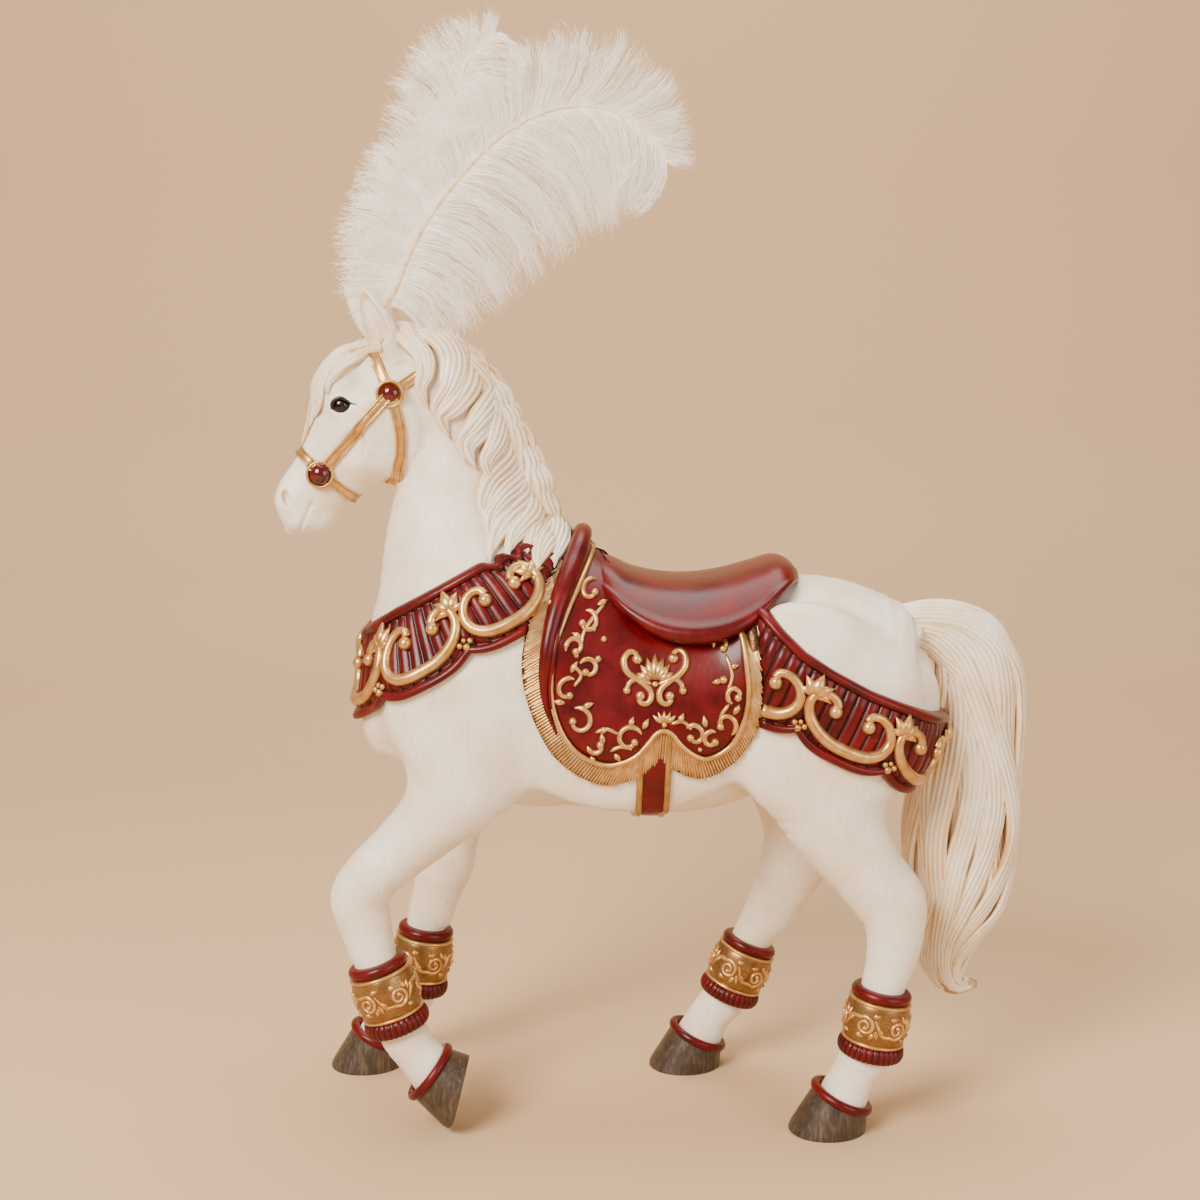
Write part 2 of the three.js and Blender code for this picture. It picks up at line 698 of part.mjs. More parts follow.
// The quill rises from its socket, and the vane lies along it, wider on one side than on the other.
function plume({ rows, foot: [footX, footY], setback }) {
  const vaneRows = rows.map(([x, z, above, below], i) => {
    const before = rows[Math.max(i - 1, 0)];
    const after = rows[Math.min(i + 1, rows.length - 1)];
    const line = new THREE.Vector2(after[0] - before[0], after[1] - before[1]).normalize();
    const notch = 1 + (i % 2 ? BARB_NOTCH : -BARB_NOTCH);
    const shift = ((above - below) * notch) / 2;
    const thickness = Math.min(PLUME_THICKNESS, 1 + (above + below) / 10);
    return [x - line.y * shift, setback, z + line.x * shift, ((above + below) * notch) / 2, thickness];
  });
  const path = [
    new THREE.Vector3(footX, footY, POLL_TOP - SOCKET_DEPTH + 2),
    new THREE.Vector3(footX - 2, footY, POLL_TOP - 4),
    new THREE.Vector3(rows[0][0], setback * 0.6, rows[0][1] + 1),
    new THREE.Vector3(rows[1][0], setback, rows[1][1]),
  ];
  return limb(vaneRows, PLUME_SIDES).add(tube(path, [QUILL_RADIUS, QUILL_RADIUS, 1.4, 1.2], 8));
}

function socket({ foot: [x, y] }) {
  const bottom = new THREE.Vector3(x, y, POLL_TOP - SOCKET_DEPTH);
  const mouth = new THREE.Vector3(x - 2.4, y, POLL_TOP - 2);
  const above = mouth.clone().add(new THREE.Vector3(-6, 0.7 * y, 14));
  return tube([bottom, mouth, above], [SOCKET_RADIUS, SOCKET_RADIUS + 0.5, SOCKET_RADIUS + 3], 8);
}

// Assembly

const seats = rosettes();
const joined = join([
  body(),
  head(),
  ...LEGS.map(leg),
  ear(-1),
  ear(1),
  eye(-1),
  eye(1),
  crestMass(),
  ...mane(),
  ...forelock(),
  tail(),
  band(CLOTH, TACK_LIFT),
  band(COLLAR, TACK_LIFT),
  band(BREECHING, TACK_LIFT),
  band(GIRTH, GIRTH_LIFT),
  seat(),
  pommelRoll(),
  ...scrollwork(COLLAR_RING),
  ...scrollwork(BREECHING_RING),
  ...bridle(),
  ...seats.map(bezel),
]).subtract(join([...seats.map(gemSeat), socket(PLUMES.front), socket(PLUMES.back)]));
// Small pockets shut in between the locks are part of the cast mass, so only the outer skin is kept.
const casting = joined.decompose().reduce((one, other) => (one.volume() > other.volume() ? one : other));

const figure = new THREE.Group();
figure.position.x = -BOX_CENTRE_X;

function piece(name, geometry, finish) {
  const mesh = new THREE.Mesh(geometry, new THREE.MeshStandardMaterial(finish));
  mesh.name = name;
  figure.add(mesh);
}

piece("horse", geometryOf(casting), IVORY);
["upper_left", "upper_right", "lower_left", "lower_right"].forEach((place, i) =>
  piece("cabochon_" + place, cabochon(seats[i]), RUBY),
);
piece("plume_front", geometryOf(plume(PLUMES.front)), DOWN);
piece("plume_back", geometryOf(plume(PLUMES.back)), DOWN);

const root = new THREE.Group();
root.add(figure);
export default root;
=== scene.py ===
# %% [markdown]
# # A parade horse, sculpted and painted in code
#
# The figure is a walking horse cast in resin and painted by hand: ivory coat, red lacquered tack, gilded
# scrolls, glass cabochons, and two ostrich plumes at the poll. This lesson builds it the way that a
# sculptor would: the body and head first, then the hair, the tack that is laid on them, the eyes and the
# feathers.
#
# Sizes are in the sculpture's own millimetres, with x = 0 under the withers. One function turns them into
# metres in the frame of the CAD model.

# %% The frame of the CAD model
import math

import bpy
import numpy as np
import openvdb
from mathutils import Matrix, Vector
from mathutils.bvhtree import BVHTree


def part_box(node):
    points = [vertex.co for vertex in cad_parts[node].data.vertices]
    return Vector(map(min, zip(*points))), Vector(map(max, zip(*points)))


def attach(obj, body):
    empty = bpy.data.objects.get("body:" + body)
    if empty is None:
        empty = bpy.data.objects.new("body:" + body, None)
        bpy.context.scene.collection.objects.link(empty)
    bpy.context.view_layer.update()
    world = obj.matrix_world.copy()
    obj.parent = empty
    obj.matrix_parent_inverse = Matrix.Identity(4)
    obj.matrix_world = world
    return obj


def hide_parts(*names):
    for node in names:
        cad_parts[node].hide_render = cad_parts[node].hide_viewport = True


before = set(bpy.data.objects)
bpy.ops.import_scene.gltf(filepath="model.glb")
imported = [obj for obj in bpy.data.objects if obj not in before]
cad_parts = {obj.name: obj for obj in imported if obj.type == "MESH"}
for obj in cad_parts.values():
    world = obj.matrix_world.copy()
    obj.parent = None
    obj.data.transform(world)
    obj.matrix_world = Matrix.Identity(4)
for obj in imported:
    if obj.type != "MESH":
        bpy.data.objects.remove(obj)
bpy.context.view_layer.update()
BOX_CENTRE_X = 25.6  # millimetres from the withers back to the middle of the figure

# %% [markdown]
# ## Colours and nodes
#
# Colours are matched, and a renderer adds light, so they are written as sRGB hex values and made linear in
# one place. `add_node` adds a node with its settings and links and gives back its output, so that a material
# reads like a recipe, from its pattern to its paint.


# %% Colours, nodes and a plain material
def colour(hex_value):
    """An sRGB hex value as a linear RGBA tuple."""
    parts = [int(hex_value[i : i + 2], 16) / 255 for i in (1, 3, 5)]
    linear = [c / 12.92 if c <= 0.04045 else ((c + 0.055) / 1.055) ** 2.4 for c in parts]
    return (*linear, 1.0)


def add_node(tree, kind, inputs=None, output=None, stops=(), **settings):
    """The output of a new node of that kind: the first, or the one asked for by name or number.

    inputs maps an input's name or number to a socket, a hex colour or a value. stops are the positions and
    hex colours of a ramp.
    """
    made = tree.nodes.new(kind)
    for key, value in settings.items():
        setattr(made, key, value)
    for key, value in (inputs or {}).items():
        if isinstance(value, bpy.types.NodeSocket):
            tree.links.new(value, made.inputs[key])
        elif isinstance(value, str) and value.startswith("#"):
            made.inputs[key].default_value = colour(value)
        else:
            made.inputs[key].default_value = value
    if stops:
        elements = made.color_ramp.elements
        while len(elements) < len(stops):
            elements.new(0.5)
        for element, (position, value) in zip(elements, stops):
            element.position, element.color = position, colour(value)
    return next(s for s in made.outputs if s.enabled) if output is None else made.outputs[output]


MATH, VECTOR_MATH, NOISE = "ShaderNodeMath", "ShaderNodeVectorMath", "ShaderNodeTexNoise"
RAMP, MIX = "ShaderNodeValToRGB", "ShaderNodeMix"
GLAZED = {"data_type": "RGBA", "blend_type": "MULTIPLY"}  # one colour seen through another


def new_material(name, base, roughness, **principled):
    """A material whose Principled BSDF has these plain values."""
    made = bpy.data.materials.new(name)
    made.use_nodes = True
    shader = made.node_tree.nodes["Principled BSDF"]
    shader.inputs["Base Color"].default_value = colour(base)
    shader.inputs["Roughness"].default_value = roughness
    for key, value in principled.items():
        shader.inputs[key.replace("_", " ").title().replace("Ior", "IOR")].default_value = value
    return made, made.node_tree, shader


# %% [markdown]
# ## The paint of the coat
#
# The casting is sprayed ivory, brushed with a beige glaze and wiped: the glaze stays in the hollows, and
# its fine brush marks show on the open faces. Noise alone would stain it anywhere. A value that follows
# the carving is what makes it look painted, so each mesh carries a `wash` attribute, 0 on the high
# parts and 1 in the grooves, and the paint reads it. It darkens the paint where the glaze stays and also
# where shade falls, so it is part real glaze and part painted shade.


# %% Ivory paint under a glaze, with painted shade
def object_mm(tree):
    """Object coordinates in millimetres."""
    where = add_node(tree, "ShaderNodeTexCoord", output="Object")
    return add_node(tree, VECTOR_MATH, {0: where, "Scale": 1000}, operation="SCALE")


def mottle(tree, where, size, detail=3.0, stretch=(1, 1, 1)):
    """An uneven tone whose blobs are about `size` millimetres across, stretched along the axes."""
    scale = [1 / (size * s) for s in stretch]
    scaled = add_node(tree, "ShaderNodeMapping", {"Vector": where, "Scale": scale})
    return add_node(tree, NOISE, {"Vector": scaled, "Scale": 1.0, "Detail": detail})


def wash_of(tree):
    return add_node(tree, "ShaderNodeAttribute", output="Fac", attribute_name="wash")


def brush_on(tree, shader, tone, marks, depth_mm, roughness=None):
    """Feeds the shader a paint's tone, the relief of its brush marks and, if given, an uneven roughness."""
    relief = add_node(tree, "ShaderNodeBump", {"Height": marks, "Strength": 1.0, "Distance": depth_mm / 1000})
    tree.links.new(tone, shader.inputs["Base Color"])
    tree.links.new(relief, shader.inputs["Normal"])
    if roughness is not None:
        tree.links.new(roughness, shader.inputs["Roughness"])


def ivory_material(name, base, glaze_and_shade, deep, roughness=0.42, marks=0.09):
    """Sprayed enamel under a wiped glaze: pale and satin on top, warm and darker in the grooves.

    The grooves hold the glaze and painted shade.
    """
    made, tree, shader = new_material(name, base, roughness, specular_ior_level=0.45)
    where = object_mm(tree)
    cloud = mottle(tree, where, 26, 4)
    brushed = mottle(tree, where, 1.1, 3, (1, 1, 9))
    grain = mottle(tree, where, 0.55, 2)
    patchy = add_node(tree, MATH, {0: cloud, 1: 0.9, 2: 0.55}, operation="MULTIPLY_ADD")
    # The glaze with painted shade in the hollows, broken up by the large cloud
    patchy_darkening = add_node(tree, MATH, {0: wash_of(tree), 1: patchy}, operation="MULTIPLY")
    coat = add_node(tree, RAMP, {"Fac": patchy_darkening}, stops=[(0.0, base), (0.2, base), (0.55, glaze_and_shade), (1.0, deep)])
    strokes = add_node(tree, RAMP, {"Fac": brushed},
                       stops=[(0.42, "#ffffff"), (0.62, "#f2e8d8"), (0.8, "#e4d3bb")])
    cloudy = add_node(tree, RAMP, {"Fac": cloud},
                      stops=[(0.35, "#ffffff"), (0.55, "#f6ecdc"), (0.75, "#ead6ba")])
    toned = add_node(tree, MIX, {0: 0.4, 6: coat, 7: strokes}, 2, **GLAZED)
    tinted = add_node(tree, MIX, {0: 0.75, 6: toned, 7: cloudy}, 2, **GLAZED)
    uneven = add_node(tree, MATH, {0: brushed, 1: 0.14, 2: roughness - 0.06}, operation="MULTIPLY_ADD")
    relief = add_node(tree, MATH, {0: grain, 1: 0.35, 2: brushed}, operation="MULTIPLY_ADD")
    brush_on(tree, shader, tinted, relief, marks, uneven)
    return made


# The paint, the glaze with painted shade, and the colour of the deepest hollows
IVORY = ivory_material("ivory painted resin", "#f4eee3", "#e0caa9", "#b38b5e")
HAIR_PAINT = ivory_material("cream glazed hair", "#f6eee0", "#e3c597", "#ad7c44", 0.38, 0.05)
print("paint:", IVORY.name, "and", HAIR_PAINT.name)

# %% [markdown]
# ## Putting a mesh in the scene
#
# Every piece is made from points in the sculpture's millimetres. `place` makes the object, smooths it,
# gives it its material and puts it on the root body. `Parts` gathers many small shapes first, because the
# scrolls and locks of one paint are one piece.


# %% From points to a piece
def metres(points):
    """Sculpture millimetres to the CAD's metres."""
    points = np.asarray(points, float)
    return (points - [BOX_CENTRE_X, 0, 0]) * 0.001


def place(name, points, faces, material, wash=None):
    """A mesh piece with an optional paint mix value per point, riding on the figure."""
    mesh = bpy.data.meshes.new(name)
    mesh.from_pydata(metres(points).tolist(), [], [list(map(int, face)) for face in faces])
    mesh.materials.append(material)
    mesh.polygons.foreach_set("use_smooth", [True] * len(mesh.polygons))
    if wash is not None:
        mesh.attributes.new("wash", "FLOAT", "POINT").data.foreach_set("value", np.asarray(wash, np.float32))
    made = bpy.data.objects.new(name, mesh)
    bpy.context.scene.collection.objects.link(made)
    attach(made, "root")
    print(f"{name}: {triangles_in(made)} triangles")
    return made


def triangles_in(obj):
    return sum(len(face.vertices) - 2 for face in obj.data.polygons)


class Parts:
    """Points, faces and paint mix values of several closed shapes that become one mesh."""

    def __init__(self):
        self.points, self.faces, self.wash, self.count = [], [], [], 0

    def add(self, points, faces, wash=0.0):
        points = np.asarray(points, float)
        self.points.append(points)
        self.faces.extend([[i + self.count for i in face] for face in faces])
        self.wash.append(np.broadcast_to(np.asarray(wash, float), (len(points),)))
        self.count += len(points)

    def place(self, name, material, slot):
        return place(name, np.vstack(self.points), self.faces, material, np.concatenate(self.wash))


# %% [markdown]
# ## The body as a distance field
#
# The real model was carved in clay and cast. A cage of polygons would need its joins worked over by hand,
# so the body is drawn as lofts: rows of x, y, z, half depth in the side view and half width across. Each
# loft gives the distance from a point to its skin, and the lofts are blended where they meet, as clay is.

# %% Trunk, neck and legs
TRUNK = [
    (-110.5, 0, 222, 24, 22), (-99, 0, 222, 43, 37), (-75, 0, 221, 56.5, 46),
    (-44, 0, 222, 65, 50.5), (-12, 0, 218.5, 64.5, 52), (18, 0, 210.5, 57.5, 53), (47, 0, 210, 56, 54),
    (76, 0, 218, 52, 54), (106, 0, 219, 53, 55), (133, 0, 216, 47.5, 50), (151, 0, 212, 38, 41),
    (163, 0, 213, 25, 27),
]
NECK = [
    (-55, 0, 235, 58, 46), (-63, 0, 266, 49, 39), (-68, 0, 292, 39.5, 30), (-70.5, 0, 318, 30.5, 22.5),
    (-73, 0, 345, 23, 17.5), (-81, 0, 368, 19, 15.5), (-91, 0, 381, 14, 13), (-97, 0, 387, 8, 8),
]
# Each leg: sections down to the cuff, the cuff's two ends, the pastern, and the foot's toe and turn
LEGS = {
    "fore_near": {
        "upper": [
            (-62, -28, 225, 34, 22), (-62, -32, 198, 32, 22), (-67, -35, 176, 26, 20),
            (-82, -38, 157, 18, 16), (-98, -40, 142, 15, 13.5), (-110, -41, 131, 14, 12.5),
            (-117, -41, 119, 14.5, 12.5), (-115, -41, 106, 13, 11), (-112, -41, 93, 11.5, 10),
        ],
        "cuff": ((-110, 87), (-99, 52.5)),
        "pastern": [(-96, -41, 48, 12, 11), (-90, -41, 39, 11, 10.5)],
        "foot": {"side": -41, "toe": (-74, -0.38), "turn": 76},
    },
    "fore_far": {
        "upper": [
            (-58, 28, 225, 34, 22), (-62, 32, 198, 31, 22), (-67, 35, 175, 25, 19), (-74, 38, 152, 19, 16),
            (-80, 40, 130, 16, 13.5), (-83, 41, 112, 15.5, 13), (-87, 41, 98, 13, 11),
            (-91, 41, 84, 12, 10.5),
        ],
        "cuff": ((-93, 78), (-99, 42)),
        "pastern": [(-104, 41, 37, 11.5, 11), (-111, 41, 28, 11, 10.5)],
        "foot": {"side": 41, "toe": (-146, 0), "turn": 0},
    },
    "hind_near": {
        "upper": [
            (118, -28, 225, 46, 24), (114, -31, 198, 45, 25), (112, -33, 178, 37, 23),
            (113, -35, 162, 27, 20), (120, -37, 147, 21.5, 17), (131, -39, 131, 18, 15),
            (142, -40, 116, 17.5, 13), (144.5, -41, 103, 14.5, 12), (143, -41, 88, 12.5, 10.5),
        ],
        "cuff": ((139, 73), (133, 39)),
        "pastern": [(129.5, -41, 35.5, 11.5, 11), (125.5, -41, 28.5, 11, 10.5)],
        "foot": {"side": -41, "toe": (93, 0), "turn": 0},
    },
    "hind_far": {
        "upper": [
            (112, 28, 225, 46, 24), (108, 31, 198, 44, 25), (105, 33, 178, 34, 23), (104, 35, 160, 27, 19),
            (106, 37, 143, 22, 17), (107, 39, 127, 20, 15), (103, 40, 112, 18, 13), (97, 41, 98, 15, 12),
            (89, 41, 83, 13, 11),
        ],
        "cuff": ((81, 70), (68.5, 38.5)),
        "pastern": [(64.5, 41, 34, 11.5, 11), (59, 41, 27, 11, 10.5)],
        "foot": {"side": 41, "toe": (26, 0), "turn": 0},
    },
}
HOOF_TOP = {"front": (13, 22), "rear": (39.5, 10)}  # the wall's top edge, from the toe on the ground
LEG_ENDS = (26.25, 14)  # where the leg ends inside the hoof
HOOF_LENGTH, HOOF_WIDTH = 38, 34


def resample(rows, steps):
    """More stations between a table's rows, on a smooth curve through them."""
    rows = np.array(rows, float)
    padded = np.vstack([2 * rows[0] - rows[1], rows, 2 * rows[-1] - rows[-2]])
    out = []
    for a, b, c, d in zip(padded, padded[1:], padded[2:], padded[3:]):
        bend, twist = 2 * a - 5 * b + 4 * c - d, 3 * b - a - 3 * c + d
        for t in np.arange(steps) / steps:
            out.append(0.5 * (2 * b + (c - a) * t + bend * t**2 + twist * t**3))
    return np.array(out + [rows[-1]])


# %% Lofts and how they blend
STATIONS = 4  # sections of a loft from one row of its table to the next
MARGIN = 26.0  # a loft is measured this far out from its skin
FAR = 60.0  # and has this value beyond


class Loft:
    """Oval sections along a line in the side view, as a distance field."""

    def __init__(self, rows, corner=2.0, cap=2.5):
        self.stations = resample(rows, STATIONS)
        self.corner, self.cap = corner, cap
        reach = self.stations[:, 3:].max(1) + MARGIN
        self.low = (self.stations[:, :3] - reach[:, None]).min(0)
        self.high = (self.stations[:, :3] + reach[:, None]).max(0)

    def __call__(self, points):
        distance = np.full(len(points), FAR)
        close = np.all((points > self.low) & (points < self.high), axis=1)
        if close.any():
            distance[close] = self.near(points[close])
        return distance

    def near(self, points):
        x, y, z = points.T
        best = np.full(len(points), np.inf)
        depth = np.zeros(len(points))
        section = np.zeros((3, len(points)))
        last = len(self.stations) - 2
        for i, (a, b) in enumerate(zip(self.stations[:-1], self.stations[1:])):
            dx, dz = b[0] - a[0], b[2] - a[2]
            length = math.hypot(dx, dz)
            dx, dz = dx / length, dz / length
            along = (x - a[0]) * dx + (z - a[2]) * dz
            across = (z - a[2]) * dx - (x - a[0]) * dz
            share = np.clip(along / length, 0, 1)
            excess = along - share * length
            offset = across**2 + excess**2
            closer = offset < best
            best = np.where(closer, offset, best)
            if i in (0, last):  # beyond the ends the loft is flattened
                excess = np.where((excess < 0) == (i == 0), excess * self.cap, excess)
            depth = np.where(closer, np.hypot(across, excess), depth)
            row = a[[1, 3, 4], None] + share * (b - a)[[1, 3, 4], None]
            section = np.where(closer, row, section)
        wide = np.abs(y - section[0])
        level = (depth / section[1]) ** self.corner + (wide / section[2]) ** self.corner
        level = np.maximum(level, 1e-6) ** (1 / self.corner)
        return np.hypot(depth, wide) * (1 - 1 / level)


def blend(a, b, width):
    """The union of two fields, with a fillet where they meet."""
    share = np.clip(1 - np.abs(a - b) / width, 0, 1)
    return np.minimum(a, b) - share**2 * width / 4


def carve(a, b, width):
    """Field a with b taken out of it, and the edge rounded."""
    return -blend(-a, b, width)


def egg(points, centre, radii, turn=0.0):
    """An ellipsoid's field, turned by degrees in the plane of the first two coordinates."""
    rel = points - np.array(centre, float)
    angle = math.radians(turn)
    turned = np.stack([
        rel[:, 0] * math.cos(angle) + rel[:, 1] * math.sin(angle),
        rel[:, 1] * math.cos(angle) - rel[:, 0] * math.sin(angle),
        rel[:, 2],
    ], 1)
    level = np.linalg.norm(turned / radii, axis=1)
    return np.linalg.norm(turned, axis=1) * (1 - 1 / np.maximum(level, 1e-3))


def foot_point(foot, x, y, z):
    """A point of a foot's own frame, whose origin is the toe on the ground."""
    turn = math.radians(foot["turn"])
    c, s = math.cos(turn), math.sin(turn)
    return np.array([foot["toe"][0] + x * c - z * s, foot["side"] + y, foot["toe"][1] + x * s + z * c])


# %% The bare body
trunk_loft, neck_loft = Loft(TRUNK, cap=5.0), Loft(NECK)
leg_lofts = []
for row in LEGS.values():
    under_cuff = [(x, row["foot"]["side"], z, 10.6, 10) for x, z in row["cuff"]]
    into_hoof = (*foot_point(row["foot"], LEG_ENDS[0], 0, LEG_ENDS[1]), 12.5, 12.5)
    leg_lofts.append(Loft(row["upper"] + under_cuff + row["pastern"] + [into_hoof]))

# Muscles: centre in x, z and y, radii, tilt in the side view, and the width of the blend
MUSCLES = [
    ((-84, 206, 33), (17, 34, 13), 18, 16),  # shoulder
    ((-55, 196, 40), (27, 20, 10), 30, 14),  # upper arm
    ((-104, 205, 15), (14, 22, 15), 0, 10),  # breast
    ((100, 238, 44), (30, 24, 11), -25, 18),  # hip
    ((124, 200, 40), (25, 38, 13), -8, 16),  # thigh
    ((86, 182, 43), (15, 18, 9), 20, 12),  # stifle
    ((10, 190, 44), (48, 26, 9), -4, 18),  # ribs
]


def body_field(points):
    """Distance to the bare body, without its head."""
    d = blend(trunk_loft(points), neck_loft(points), 22)
    flank = np.column_stack([points[:, 0], points[:, 2], np.abs(points[:, 1])])
    for centre, radii, tilt, width in MUSCLES:
        d = blend(d, egg(flank, centre, radii, tilt), width)
    for leg in leg_lofts:
        d = blend(d, leg(points), 15)
    return d


print("lofts:", 2 + len(leg_lofts), "muscles on each side:", len(MUSCLES))

# %% [markdown]
# ## The head
#
# The head has a frame of its own: `s` runs from the poll to the muzzle, `w` from the jaw to the forehead,
# and `y` across. Brows, crest, nostrils and lips are eggs that are added to its loft or taken out of it.
# The cheek, the mouth and the fold over the eye are too shallow for that, so they shift the field itself by
# a millimetre or two.

# %% The head's frame and loft
POLL = np.array([-100.0, 375.0])
FACE = np.array([-0.57, -0.822]) / math.hypot(0.57, 0.822)
BROW = np.array([FACE[1], -FACE[0]])
# distance along the head, forehead side, jaw side, half width
HEAD = [
    (-4, 14, -12, 9), (2, 22, -22, 15), (12, 26, -29, 19), (24, 26, -34, 20.5), (36, 23, -33, 20),
    (46, 19.5, -27, 17.5), (58, 17, -21, 14), (68, 16, -17.5, 12.2), (78, 16, -15.5, 12),
    (86, 13.5, -15.5, 12.6), (92, 8, -11.5, 10), (96, 2, -6, 4),
]


def head_point(s, w, y=0.0):
    """A point of the head's own frame in sculpture millimetres."""
    x, z = POLL + s * FACE + w * BROW
    return np.array([x, y, z])


def in_head(points):
    """s, w and |y| of points."""
    rel = points[:, [0, 2]] - POLL
    return np.stack([rel @ FACE, rel @ BROW, np.abs(points[:, 1])], 1)


head_rows = []
for s, front, back, half in HEAD:
    x, _, z = head_point(s, (front + back) / 2)
    head_rows.append((x, 0, z, (front - back) / 2, half))
head_loft = Loft(head_rows, corner=2.25, cap=1.6)

# %% Eyes, ears and face
EYE = (29.0, 10.2, 15.6)  # s, w and distance from the middle of the eyeball
EYE_RADIUS = 5.2
LID_THICKNESS = 1.15
FOLD_RADIUS = 6.4  # of the fold over the upper lid
EAR_BASE = (-103.0, 9.5, 385.0)
EAR_TIPS = {-1: (-114.8, -12.5, 413.0), 1: (-126.0, 12.5, 414.5)}
# share of the ear's length, half width and half depth
EAR_PROFILE = [
    (-0.25, 6, 5), (0.0, 7.2, 6), (0.25, 8.2, 6.2), (0.5, 7.6, 5.2), (0.75, 5.4, 3.8), (1.0, 1.2, 1.0),
]


def almond(local, half_length, half_height, turn=0.0):
    """The eye's opening, a pointed oval in the s, w plane that runs outwards."""
    rel = local[:, :2] - EYE[:2]
    angle = math.radians(turn)
    along = rel[:, 0] * math.cos(angle) + rel[:, 1] * math.sin(angle)
    across = rel[:, 1] * math.cos(angle) - rel[:, 0] * math.sin(angle)
    radius = (half_length**2 + half_height**2) / (2 * half_height)
    return np.hypot(along, np.abs(across) + radius - half_height) - radius


def ear_field(points, side):
    """A leaf-shaped cup that opens outwards and a little forwards."""
    base = np.array(EAR_BASE) * [1, side, 1]
    tip = np.array(EAR_TIPS[side])
    length = np.linalg.norm(tip - base)
    axis = (tip - base) / length
    opening = np.array([-0.35, side * 0.93, 0.0])
    opening -= axis * (opening @ axis)
    opening /= np.linalg.norm(opening)
    rel = points - base
    along, deep, wide = rel @ axis / length, rel @ opening, rel @ np.cross(axis, opening)
    shares, widths, depths = zip(*EAR_PROFILE)
    half_wide, half_deep = np.interp(along, shares, widths), np.interp(along, shares, depths)
    end = np.maximum(np.maximum(along - 1, shares[0] - along), 0) * length

    def oval(shift, scale):
        u, v = wide / (half_wide * scale), (deep - shift) / (half_deep * scale)
        level = np.maximum(np.hypot(u, v), 1e-3)
        inside = (level < 1) & (end == 0)
        return np.hypot(np.hypot(wide, deep - shift) * (1 - 1 / level), end) * np.where(inside, -1, 1)

    hollow = oval(half_deep * 0.62, 0.8) + 0.9 + np.clip(0.18 - along, 0, 1) * 26
    return carve(oval(0.0, 1.0), hollow, 1.6)


# Forms of the face: added or taken out, centre in s, w and |y|, radii, turn in degrees, width of the blend
FACE_FORMS = [
    (blend, (21, 17, 14), (11, 5.5, 5.5), -8, 6),  # brow
    (blend, (50, 3.5, 12), (16, 2.6, 3.6), 4, 5),  # facial crest
    (carve, (45, -5, 20.5), (10, 5, 4), 0, 5),  # hollow under the crest
    (carve, (13, 8, 22.5), (6, 5, 5), 0, 5),  # hollow over the eye
    (blend, (82, 6.5, 8), (8, 6.5, 5.5), -12, 4),  # wing of the nostril
    (carve, (82.5, 8.4, 13.0), (4.4, 2.1, 4.4), -51, 1.2),  # nostril
    (blend, (88.5, -1.5, 3.5), (7.5, 6, 8), 0, 4),  # upper lip
    (blend, (82.5, -12.5, 0), (8.5, 4.6, 8), 0, 4),  # chin
]
CHEEK, CHEEK_RADII, CHEEK_LIFT = (29, -13.5), (20.5, 19.5), 1.9
MOUTH = (77.3, -3.6)  # the corner, in s and w


def face_relief(along, across, aside, above_eye):
    """How far the shallow forms take the skin in, at s, w and |y|. The cheek takes it out."""
    s, w = CHEEK
    round_cheek = np.hypot((along - s) / CHEEK_RADII[0], (across - w) / CHEEK_RADII[1])
    behind = np.clip(0.5 - (along - s + across - w) / 50, 0, 1)  # the edge is crisp behind and soft in front
    edge = np.clip((round_cheek - 0.82) / (0.62 - 0.36 * behind), 0, 1)
    cheek = CHEEK_LIFT * (1 - edge * edge * (3 - 2 * edge)) * np.clip((aside - 5) / 6, 0, 1)
    s, w = MOUTH
    off_line = across - w + 0.16 * (along - s)
    mouth = 1.15 * np.exp(-((off_line / 0.95) ** 2)) * np.clip((along - s + 0.8) / 1.5, 0, 1)
    corner = 0.8 * np.exp(-((along - s - 0.5) ** 2 + (across - w) ** 2) / 3.2)
    off_fold = np.hypot(along - EYE[0], across - EYE[1]) - FOLD_RADIUS
    fold = 0.5 * np.exp(-((off_fold / 0.75) ** 2)) * above_eye * np.clip((aside - 10) / 2, 0, 1)
    return cheek, mouth + corner, fold


def head_field(points):
    """Distance to the head, with its ears and the top of the neck."""
    local = in_head(points)
    above_eye = np.clip((points[:, 2] - head_point(*EYE[:2])[2] - 0.3) / 1.5, 0, 1)
    cheek, mouth, fold = face_relief(*local.T, above_eye)
    d = blend(head_loft(points), neck_loft(points), 9) - cheek
    for join, centre, radii, turn, width in FACE_FORMS:
        d = join(d, egg(local, centre, radii, turn), width)
    eyeball = np.array([EYE[0], EYE[1], EYE[2] - 0.2])
    lid = np.linalg.norm(local - eyeball, axis=1) - EYE_RADIUS - LID_THICKNESS
    d = blend(d + mouth, lid, 3.2) + fold
    d = carve(d, np.maximum(almond(local, 4.8, 3.4, 48), 9 - local[:, 2]), 0.7)
    for side in (-1, 1):
        d = blend(d, ear_field(points, side), 4)
    return d


print("forms of the face:", len(FACE_FORMS))

# %% [markdown]
# ## From field to skin
#
# A field is sampled on a grid and skinned by OpenVDB, and each point is moved on to the true surface by two
# Newton steps. The paint mix comes from the same field: where a point a few millimetres out from the skin
# is still close to some other part of it, the place is a hollow. There the glaze would stay and shade falls,
# so the darkening is part glaze and part painted shade. The head has finer cells than the body, so it has
# a skin of its own, and the seam lies under the throat strap and the mane.


# %% Skinning a field
def gradient(field, points, step=0.4):
    shifts = np.eye(3) * step
    return np.stack([field(points + shift) - field(points - shift) for shift in shifts], 1) / (2 * step)


def outward(points, faces):
    """Quads turned so that the closed skin faces out."""
    faces = np.array(faces, int)
    a, b, c = points[faces[:, 0]], points[faces[:, 1]], points[faces[:, 2]]
    volume = (a * np.cross(b, c)).sum()
    return faces if volume > 0 else faces[:, ::-1]


SLAB = 12  # layers of the grid that are measured at once


